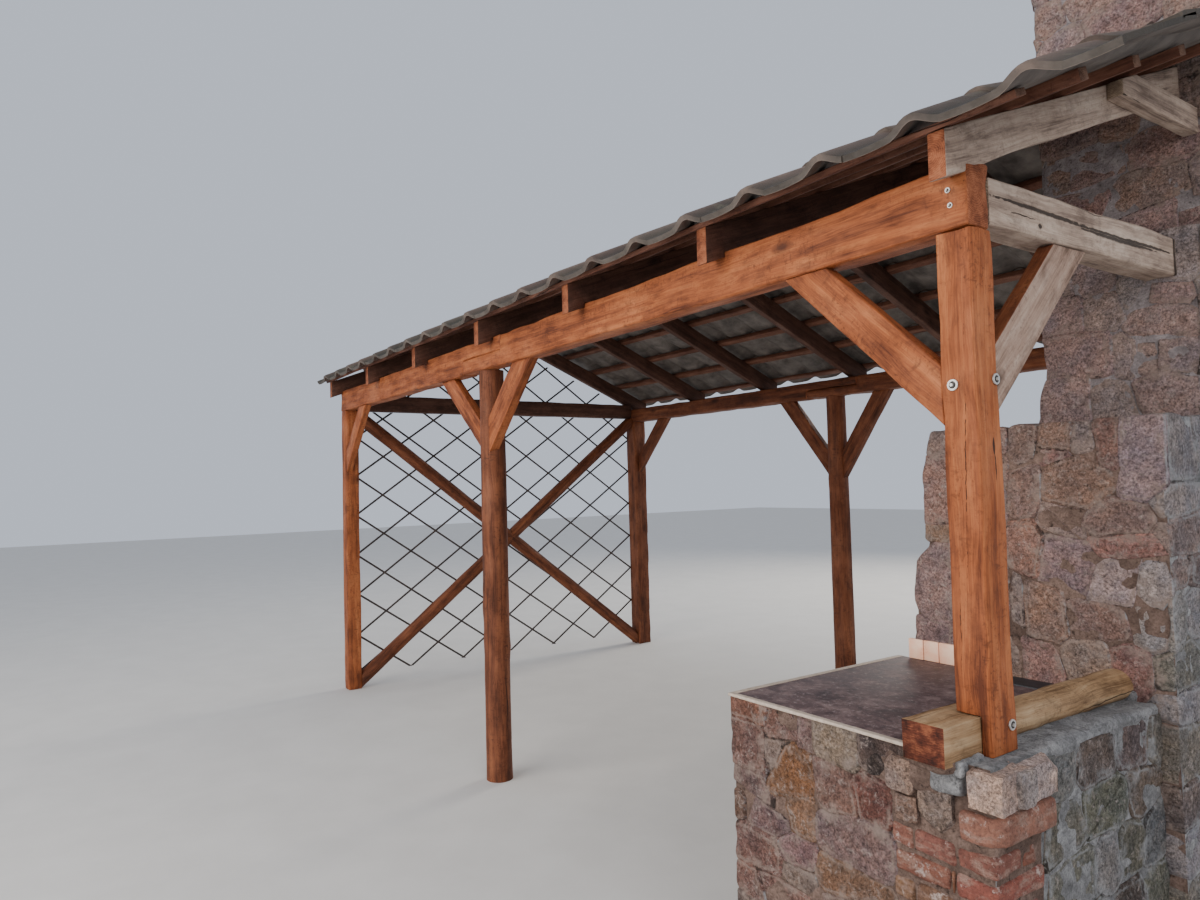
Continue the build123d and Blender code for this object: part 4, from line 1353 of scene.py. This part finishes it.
def build_mortar(name, node, sink=0.0005, amount=0.0045, step=0.035, top=None):
    """The mortar body between the stones of one block: its near side painted pale as sky light, and high up
    painted paler as glare.
    """
    bm = block_copy(node, top)
    low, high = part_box(node)
    for direction in AXES:
        cut_across(bm, direction, low.dot(direction), high.dot(direction), step)
    bm.normal_update()
    off = Vector((draw.uniform(0, 60), 0, 0))
    shifts, edge = FLANK_SHIFTS.get(node), low.x
    for v in bm.verts:
        if v.co.z < 0.002:
            continue
        deep = max(noise.noise(v.co * 17 + off) - 0.30, 0.0) * 0.016
        v.co += v.normal * (noise.noise(v.co * 11 + off) * amount - sink - deep)
        v.co.z = max(v.co.z, 0.0)
        if top is not None:
            v.co.z = min(v.co.z, top)
        bulge_flank(v.co, shifts, edge)
    # Painted glare: masonry high up gets the paler mortar.
    usual = GLARE_MORTAR if low.z > HIGH_MASONRY else MORTAR
    made = piece_from(bm, name, [usual, PALE_MORTAR], [node], 60)
    # Painted sky light: faces that look along +X get the pale mortar. The top near the post gets it too.
    for polygon in made.data.polygons:
        near_top = polygon.center.x > PALE_TOP_X and polygon.center.z < PALE_TOP_Z
        if polygon.normal.x > 0.7 or (polygon.normal.z > 0.7 and near_top):
            polygon.material_index = 1
    return made


# Stones placed one by one, each as (left, right, foot, top, tint).

COUNTER_FRONT = (
    (1.755, 1.910, 0.838, 0.893, "brick"), (1.912, 2.038, 0.805, 0.893, "pink"),
    (1.752, 1.905, 0.675, 0.806, "pink"), (1.912, 1.975, 0.735, 0.790, "grey"),
    (1.930, 2.100, 0.645, 0.785, "rust"), (2.048, 2.104, 0.790, 0.893, "purple"),
    # Painted shade: the dark stone here fills a dark hollow.
    (2.108, 2.262, 0.780, 0.862, "pale"), (2.268, 2.400, 0.785, 0.862, "dark"),
    (2.110, 2.245, 0.640, 0.775, "pink"), (2.250, 2.350, 0.650, 0.778, "red"),
    (1.752, 1.880, 0.588, 0.668, "purple"), (1.800, 1.995, 0.495, 0.582, "purple"),
    (2.000, 2.100, 0.530, 0.638, "ochre"), (2.105, 2.370, 0.505, 0.632, "purple"),
    (1.752, 1.800, 0.490, 0.580, "brown"), (1.752, 1.955, 0.360, 0.485, "brown"),
    (1.960, 2.095, 0.425, 0.520, "purple"), (2.100, 2.375, 0.400, 0.498, "ochre"),
    (1.752, 1.870, 0.250, 0.352, "pink"), (1.875, 2.080, 0.280, 0.352, "pink"),
    (1.965, 2.095, 0.355, 0.420, "grey"), (2.100, 2.240, 0.270, 0.395, "purple"),
    (2.245, 2.385, 0.285, 0.395, "brown"), (1.752, 1.900, 0.130, 0.245, "grey"),
    (1.905, 2.090, 0.155, 0.275, "pinkpurple"), (2.095, 2.250, 0.130, 0.265, "red"),
    (2.255, 2.385, 0.150, 0.280, "pale"), (1.752, 1.850, 0.0, 0.125, "brown"),
    (1.855, 2.030, 0.0, 0.150, "purple"), (2.035, 2.180, 0.0, 0.125, "pink"),
    (2.185, 2.385, 0.0, 0.145, "grey"),
)
STOVE_FRONT = (
    (1.950, 2.070, 1.690, 1.780, "grey"), (1.945, 2.050, 1.440, 1.685, "pink"),
    (1.930, 2.040, 1.360, 1.435, "ochre"), (1.860, 2.030, 1.065, 1.355, "purple"),
    (1.830, 1.993, 0.984, 1.060, "purple"), (2.055, 2.225, 1.560, 1.685, "brown"),
    (2.075, 2.225, 1.690, 1.780, "pink"), (2.055, 2.210, 1.440, 1.555, "purple"),
    (2.045, 2.200, 1.310, 1.435, "grey"), (2.035, 2.205, 1.190, 1.305, "ochre"),
    (2.035, 2.200, 1.060, 1.185, "pink"), (2.000, 2.240, 0.930, 1.055, "brown"),
    (2.230, 2.330, 1.650, 1.780, "brown"), (2.230, 2.320, 1.455, 1.645, "brown"),
    (2.337, 2.445, 1.695, 1.780, "ochre"), (2.453, 2.531, 1.690, 1.780, "grey"),
    (2.510, 2.590, 1.640, 1.780, "red"), (2.602, 2.720, 1.540, 1.780, "lilac"),
    (2.370, 2.555, 1.512, 1.650, "ochre"), (2.320, 2.420, 1.655, 1.690, "red"),
    (2.496, 2.680, 1.425, 1.505, "brown"), (2.323, 2.448, 1.404, 1.497, "purple"),
    (2.217, 2.325, 1.285, 1.450, "orange"), (2.330, 2.503, 1.225, 1.390, "purple"),
    (2.514, 2.695, 1.338, 1.400, "brick"), (2.500, 2.626, 1.195, 1.330, "lilac"),
    (2.270, 2.405, 1.044, 1.220, "ochre"), (2.412, 2.590, 1.065, 1.185, "brown"),
    (2.212, 2.262, 1.082, 1.270, "grey"), (2.250, 2.380, 0.915, 1.040, "pink"),
    (2.388, 2.530, 0.925, 1.058, "pale"), (2.536, 2.640, 0.925, 1.058, "red"),
    # The pearl stones at the right edge are painted sky light and glare.
    (2.630, 2.720, 1.195, 1.330, "pearl"), (2.600, 2.720, 1.065, 1.185, "pearl"),
)
BREAST_FRONT = (
    (2.163, 2.401, 1.975, 2.145, "red"), (2.131, 2.317, 1.816, 1.968, "brown"),
    (2.322, 2.467, 1.814, 1.941, "grey"), (2.473, 2.640, 1.800, 1.953, "pink"),
    (2.406, 2.475, 1.950, 2.108, "grey"), (2.485, 2.550, 1.960, 2.070, "brown"),
    (2.555, 2.668, 1.960, 2.068, "purple"), (2.535, 2.659, 2.197, 2.266, "brick"),
    (2.449, 2.673, 2.077, 2.187, "brown"), (2.163, 2.300, 2.150, 2.290, "purple"),
    (2.305, 2.445, 2.150, 2.270, "grey"), (2.130, 2.270, 2.300, 2.450, "grey"),
    # The blue stones at the right are painted sky light and glare.
    (2.275, 2.420, 2.280, 2.450, "purple"), (2.425, 2.525, 2.200, 2.330, "blue"),
    (2.425, 2.560, 2.335, 2.450, "pinkpurple"), (2.565, 2.700, 2.275, 2.450, "blue"),
)


def hand_laid(rows, y, corner_x, thick=0.14):
    """Stones placed one by one on a front. Those left of corner_x go round the corner."""
    sites = []
    for x0, x1, z0, z1, tint in rows:
        deep = thick if x0 < corner_x else 0.0
        sites.append(Site((x0, y, z0), (x1, y + deep, z1), tint, FRONT_FACE, deep))
    return sites


def build_masonry():
    """Counter walls, stove, breast and stack."""
    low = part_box("counter_wall_front")[0]
    sites = hand_laid(COUNTER_FRONT, low.y, 1.76, 0.10)
    sites += lay_courses("counter_wall_front", LEFT_FACE, MIXED, first=low.y + 0.12)
    sites.append(Site((2.388, low.y, 0.0), (2.435, low.y, 0.80), None, FRONT_FACE))
    build_stones("counter_front_stones", "counter_wall_front", sites, top=0.893)
    sites = lay_courses("counter_wall_far", LEFT_FACE, MIXED)
    build_stones("counter_far_stones", "counter_wall_far", sites, top=0.893)
    low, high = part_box("counter_wall_near")
    sites = lay_courses("counter_wall_near", NEAR_FACE, NEAR_SIDE, first=low.y + 0.24)
    sites.append(Site((high.x, low.y, 0.0), (high.x, low.y + 0.23, 0.89), None, NEAR_FACE))
    build_stones("counter_near_stones", "counter_wall_near", sites, top=0.872)
    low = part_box("stove_body")[0]
    sites = hand_laid(STOVE_FRONT, low.y, 1.96)
    sites += lay_courses("stove_body", NEAR_FACE, NEAR_SIDE)
    sites += lay_courses("stove_body", LEFT_FACE, MIXED, first=low.y + 0.16)
    sites += lay_courses("stove_body", BACK_FACE, MIXED)
    build_stones("stove_stones", "stove_body", sites, painted_glare=0.2)
    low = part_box("chimney_breast")[0]
    sites = hand_laid(BREAST_FRONT, low.y, 2.165, 0.10)
    sites += lay_courses("chimney_breast", LEFT_FACE, MIXED, first=low.y + 0.12)
    sites += lay_courses("chimney_breast", NEAR_FACE, NEAR_SIDE)
    sites += lay_courses("chimney_breast", BACK_FACE, MIXED)
    build_stones("breast_stones", "chimney_breast", sites, painted_glare=0.55)
    sites = []
    for face in (FRONT_FACE, LEFT_FACE, NEAR_FACE, BACK_FACE):
        sites += lay_courses("chimney_stack", face, MIXED, (0.10, 0.16), (0.14, 0.28))
    build_stones("stack_stones", "chimney_stack", sites, depth=0.07, painted_glare=0.35)
    for node, top in (("counter_wall_front", 0.889), ("counter_wall_far", 0.889), ("counter_wall_near", None),
                      ("stove_body", None), ("chimney_breast", None), ("chimney_stack", None)):
        build_mortar(node + "_mortar", node, top=top)


def add_to(whole, bm, tint):
    """Adds a block to a mesh of blocks, with its tint."""
    tints = bm.verts.layers.float_color.new("tint")
    gap = bm.verts.layers.float.new("gap")
    shade = draw.uniform(0.85, 1.12)
    for v in bm.verts:
        v[tints] = (*(c * shade for c in tint), 1)
        v[gap] = 1.0
    bm.normal_update()
    merge(whole, bm)


def blocks():
    """An empty mesh of tinted blocks."""
    bm = bmesh.new()
    bm.verts.layers.float_color.new("tint")
    bm.verts.layers.float.new("gap")
    return bm


def rough_block(whole, low, high, tint, turn=0.0, rounding=0.006, amount=0.003, fine=0.03, chips=0, chip=0.0):
    """A brick or squared stone between two corners, added to a mesh of blocks."""
    low, high = Vector(low), Vector(high)
    bm = bmesh.new()
    bmesh.ops.create_cube(bm, size=1)
    bmesh.ops.scale(bm, verts=bm.verts, vec=high - low)
    for _ in range(chips):
        square = Vector([draw.choice((-1, 1)) * draw.uniform(0.1, 1.0) for _ in range(3)]).normalized()
        cut_off(bm, square * (span(bm.verts, square)[1] - draw.uniform(0.25, 1.0) * chip), square)
    bmesh.ops.rotate(bm, verts=bm.verts, matrix=Matrix.Rotation(turn, 3, "Z"))
    bmesh.ops.translate(bm, verts=bm.verts, vec=(low + high) / 2)
    rough_out(bm, rounding, fine, amount, 0.0)
    add_to(whole, bm, tint)


def blocks_piece(name, finish, rows, crease=50):
    """One piece of several blocks, each given as what rough_block takes."""
    whole = blocks()
    for row in rows:
        rough_block(whole, *row)
    piece_from(whole, name, [finish], (), crease)


def bent_block(whole, corner, arms, low_z, high_z, depth, tint):
    """A brick bent round a corner: one arm to the left, one to the back."""
    left, right = arms
    turn_length = depth / 2 * math.pi / 2
    bm = bmesh.new()
    bmesh.ops.create_cube(bm, size=1)
    bmesh.ops.scale(bm, verts=bm.verts, vec=(left + right + turn_length, depth, high_z - low_z))
    bmesh.ops.translate(bm, verts=bm.verts, vec=((right - left) / 2, 0, (low_z + high_z) / 2))
    rough_out(bm, 0.011, 0.02, 0.004, 0.0)
    for v in bm.verts:
        s, d = v.co.x, v.co.y + depth / 2
        if s < -turn_length / 2:
            v.co.x, v.co.y = corner[0] - depth + s + turn_length / 2, corner[1] + d
        elif s > turn_length / 2:
            v.co.x, v.co.y = corner[0] - d, corner[1] + depth + s - turn_length / 2
        else:
            angle = (s / turn_length + 0.5) * math.pi / 2
            v.co.x = corner[0] - depth + (depth - d) * math.sin(angle)
            v.co.y = corner[1] + depth - (depth - d) * math.cos(angle)
    bmesh.ops.recalc_face_normals(bm, faces=bm.faces)
    add_to(whole, bm, tint)


BRICK_COURSES, BRICK_RISE, BRICK_HEIGHT, PIER_TOP = 10, 0.0700, 0.0570, 0.6800
BRICK_TINT = (0.275, 0.115, 0.078)
MORTAR_TINT = (0.2, 0.2, 0.2)
WALL_TOP = 0.888


def build_pier_bricks(left, x1, y0):
    """Brick courses, laid in two turns."""
    bricks = blocks()
    for k in range(BRICK_COURSES):
        z1 = PIER_TOP - BRICK_RISE * k
        z0 = max(z1 - BRICK_HEIGHT, 0.0)
        if z1 < 0.03:
            break
        rounding = draw.uniform(0.006, 0.010)
        rows = [(left - 0.004, y0 + 0.002, left + 0.060, y0 + 0.115),
                (left + 0.067, y0, x1 - 0.118, y0 + 0.115),
                (x1 - 0.110, y0 + 0.001, x1 - 0.004, y0 + 0.118),
                (x1 - 0.122, y0 + 0.128, x1 - 0.008, y0 + 0.190)]
        if k % 2:
            rows = [(left + 0.004, y0 + 0.001, left + 0.165, y0 + 0.115),
                    (left + 0.173, y0, x1 - 0.118, y0 + 0.115),
                    (x1 - 0.110, y0 + 0.002, x1 - 0.006, y0 + 0.215)]
        for x_low, y_low, x_high, y_high in rows:
            tint = [c * draw.uniform(0.82, 1.15) for c in BRICK_TINT]
            rough_block(bricks, (x_low, y_low, z0 + draw.uniform(0, 0.003)), (x_high, y_high, z1), tint,
                        draw.uniform(-0.02, 0.02), rounding, 0.006, 0.018)
    piece_from(bricks, "pier_bricks", [BRICK], (), 50)


def build_pier():
    """The corner pier under the near post: brick courses, a bent brick and a pale corner stone."""
    low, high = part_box("counter_wall_near")
    x1, y0, left = high.x + 0.014, low.y - 0.010, low.x - 0.055
    build_pier_bricks(left, x1, y0)
    grey = MORTAR_TINT
    blocks_piece("pier_mortar", MORTAR, (
        ((left - 0.016, y0 + 0.007, 0.0), (x1 - 0.010, y0 + 0.225, 0.800), grey, 0, 0.012, 0.007, 0.03),
        ((2.440, y0 - 0.012, 0.790), (2.540, y0 + 0.100, 0.886), grey, 0, 0.020, 0.012, 0.012),
        ((2.472, -1.672, 0.868), (2.594, y0 + 0.050, 0.912), grey, 0, 0.014, 0.012, 0.012)))
    stones = (
        ((2.612, y0 - 0.014, 0.790), (2.703, y0 + 0.110, 0.887), (0.47, 0.365, 0.305), 0.05, 0.002, 7, 0.014),
        ((2.628, y0 + 0.104, 0.798), (2.706, y0 + 0.245, 0.886), (0.50, 0.41, 0.36), 0.0, 0.002, 7, 0.014),
        ((2.660, y0 + 0.066, 0.794), (2.713, y0 + 0.138, 0.880), (0.36, 0.33, 0.31), 0.0, 0.002, 7, 0.014),
        ((2.368, y0 - 0.012, 0.770), (2.458, y0 + 0.10, 0.862), (0.36, 0.275, 0.225), 0.0, 0.002, 7, 0.014),
        ((2.395, y0 - 0.006, 0.694), (2.462, y0 + 0.10, 0.764), (0.21, 0.15, 0.12), 0.0, 0.002, 7, 0.014),
        ((2.468, y0 - 0.008, 0.696), (2.566, y0 + 0.10, 0.808), (0.235, 0.19, 0.16), 0.0, 0.002, 9, 0.018),
        # Painted shade: the last, near-black block fills a dark hollow.
        ((2.300, y0 + 0.006, 0.785), (2.385, y0 + 0.08, 0.848), (0.085, 0.070, 0.064), 0.0, 0.004, 12, 0.024))
    blocks_piece("pier_caps", STONE, [
        (foot, head, tint, turn, sharp, 0.006, 0.011, chips, chip)
        for foot, head, tint, turn, sharp, chips, chip in stones], 40)
    bent = blocks()
    bent_block(bent, (x1 + 0.010, y0 - 0.012), (0.046, 0.222), 0.702, 0.776, 0.058, (0.400, 0.180, 0.122))
    piece_from(bent, "bent_brick", [BRICK], (), 50)
    blocks_piece("mortar_bed", PALE_MORTAR, (
        ((low.x + 0.010, y0 + 0.030, WALL_TOP - 0.02), (x1 - 0.016, y0 + 0.30, WALL_TOP - 0.002), grey,
         0.0, 0.008, 0.008, 0.014),
        ((low.x + 0.015, y0 + 0.26, WALL_TOP - 0.03), (x1 - 0.014, -0.700, WALL_TOP + 0.009), grey,
         0.0, 0.012, 0.014, 0.016),
        ((2.512, y0 - 0.019, 0.806), (2.598, y0 + 0.10, 0.884), grey, 0.0, 0.014, 0.009, 0.011),
        ((2.520, -1.640, 0.868), (2.608, y0 + 0.075, 0.899), grey, 0.0, 0.008, 0.010, 0.010, 6, 0.012),
        ((2.470, -0.720, 0.880), (2.612, -0.690, 0.925), grey, 0.0, 0.014, 0.010, 0.014)))


SLAB_INSET, SLAB_ARRIS = 0.018, 0.003
TRIM_SINK, TRIM_RISE, TRIM_WIDTH = 0.0085, 0.0015, 0.020
CREAM_TILES, CREAM_START, CREAM_PITCH = 3, 1.798, 0.0665
CREAM_WIDTH, CREAM_HEIGHT = 0.0640, 0.078
LOG_FRONT, LOG_END, SILL_FOOT, SLIMMER = -1.38, -0.70, 0.89, 0.87


def build_sill_log():
    """The sill timber: squared in front, round and slimmer behind."""
    bm = solid_copy("sill_timber", 0.3)
    for face in bm.faces:
        face.material_index = 1 if abs(face.normal.y) > 0.9 else 0
    bevel(bm, [e for e in bm.edges if e.is_manifold and e.calc_face_angle() > math.radians(40)
               and e.verts[0].co.y < LOG_END], 0.009)
    cut_across(bm, DEEP, *span(bm.verts, DEEP), 0.04)
    bm.normal_update()
    for v in bm.verts:
        if v.co.y > LOG_FRONT:
            v.co.z = SILL_FOOT + (v.co.z - SILL_FOOT) * SLIMMER
        if v.co.y > LOG_END:
            v.co.y += 0.02
        v.co += v.normal * (noise.noise(v.co * 9) * 0.005 + noise.noise(v.co * 26) * 0.0015)
    write_grain(bm, DEEP)
    piece_from(bm, "sill_log", [OLIVE, OLIVE_END], ["sill_timber"], 45)


def build_counter_top():
    """The slab with its pale trim, the sill timber, the row of cream tiles and the dark plate."""
    low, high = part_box("counter_slab")
    bm = solid_copy("counter_slab")
    for v in bm.verts:
        if v.co.y < low.y + 0.005:
            v.co.y += SLAB_INSET
        if v.co.x < low.x + 0.005:
            v.co.x += SLAB_INSET
    bevel(bm, bm.edges[:], SLAB_ARRIS)
    piece_from(bm, "slab_top", [SLAB], ["counter_slab"], 40)
    foot, head = high.z - TRIM_SINK, high.z + TRIM_RISE
    inner_x, inner_y = low.x + TRIM_WIDTH, low.y + TRIM_WIDTH
    trim = ((0.5, 0.4, 0.3), 0, 0.002, 0.0008, 0.08)
    blocks_piece("slab_edge_trim", TRIM, (
        ((low.x - 0.002, low.y - 0.001, foot), (high.x, inner_y, head), *trim),
        ((low.x - 0.002, inner_y, foot), (inner_x, high.y - 0.002, head), *trim)), 40)
    build_sill_log()
    wall_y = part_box("stove_body")[0].y
    starts = [CREAM_START + k * CREAM_PITCH for k in range(CREAM_TILES)]
    blocks_piece("cream_tiles", CREAM, [
        ((x0, wall_y - 0.014, high.z + 0.001), (x0 + CREAM_WIDTH, wall_y + 0.004, high.z + CREAM_HEIGHT),
         (0.7, 0.6, 0.45), 0, 0.003, 0.0006, 0.05) for x0 in starts], 40)
    blocks_piece("hob_plate", IRON, (
        ((2.110, wall_y - 0.115, high.z - 0.004), (2.415, wall_y - 0.012, high.z + 0.0035),
         (0.1, 0.1, 0.1), 0, 0.002, 0.0006, 0.05),), 40)


def bolt(bm, place, out, size):
    """A bolt in its washer: a bright ring, a near-black ring painted as the shade of the gap round the head,
    and a small head.
    """
    turn = out.to_track_quat("Z", "Y").to_matrix().to_4x4()
    for radius, low, high, sides, finish in ((1.35, -0.001, 0.0022, 24, 0), (0.88, 0.0020, 0.0026, 24, 1),
                                             (0.42, 0.0024, 0.0080, 6, 0)):
        made = bmesh.ops.create_cone(bm, cap_ends=True, segments=sides, radius1=size * radius,
                                     radius2=size * radius * 0.97, depth=high - low)
        verts = made["verts"]
        for face in {face for v in verts for face in v.link_faces}:
            face.material_index = finish
        bmesh.ops.translate(bm, verts=verts, vec=(0, 0, (low + high) / 2))
        bmesh.ops.transform(bm, matrix=Matrix.Translation(place) @ turn, verts=verts)


def build_fasteners():
    """Bolts of the near post and screws of the plate and collar."""
    bm = bmesh.new()
    for place, out, size in (
            ((2.5598, Y_FRONT - 0.0015, 1.8561), -DEEP, 0.0115),
            ((X_NEAR + 0.0015, -1.4323, 1.8687), ACROSS, 0.0115),
            ((X_NEAR + 0.0015, -1.4311, 0.9615), ACROSS, 0.0110),
            ((2.5702, Y_FRONT - 0.002, 2.3777), -DEEP, 0.0055),
            ((2.5755, Y_FRONT - 0.002, 2.3355), -DEEP, 0.0055),
            ((X_NEAR + 0.0015, -0.562, 2.8698), ACROSS, 0.007)):
        bolt(bm, Vector(place), out, size)
    piece_from(bm, "bolts", [STEEL, BOLT_GAP_SHADE], (), 30)


studio()
build_frame()
build_lattice()
build_roof_timbers()
build_tiles()
build_ridge()
build_masonry()
build_pier()
build_counter_top()
build_fasteners()
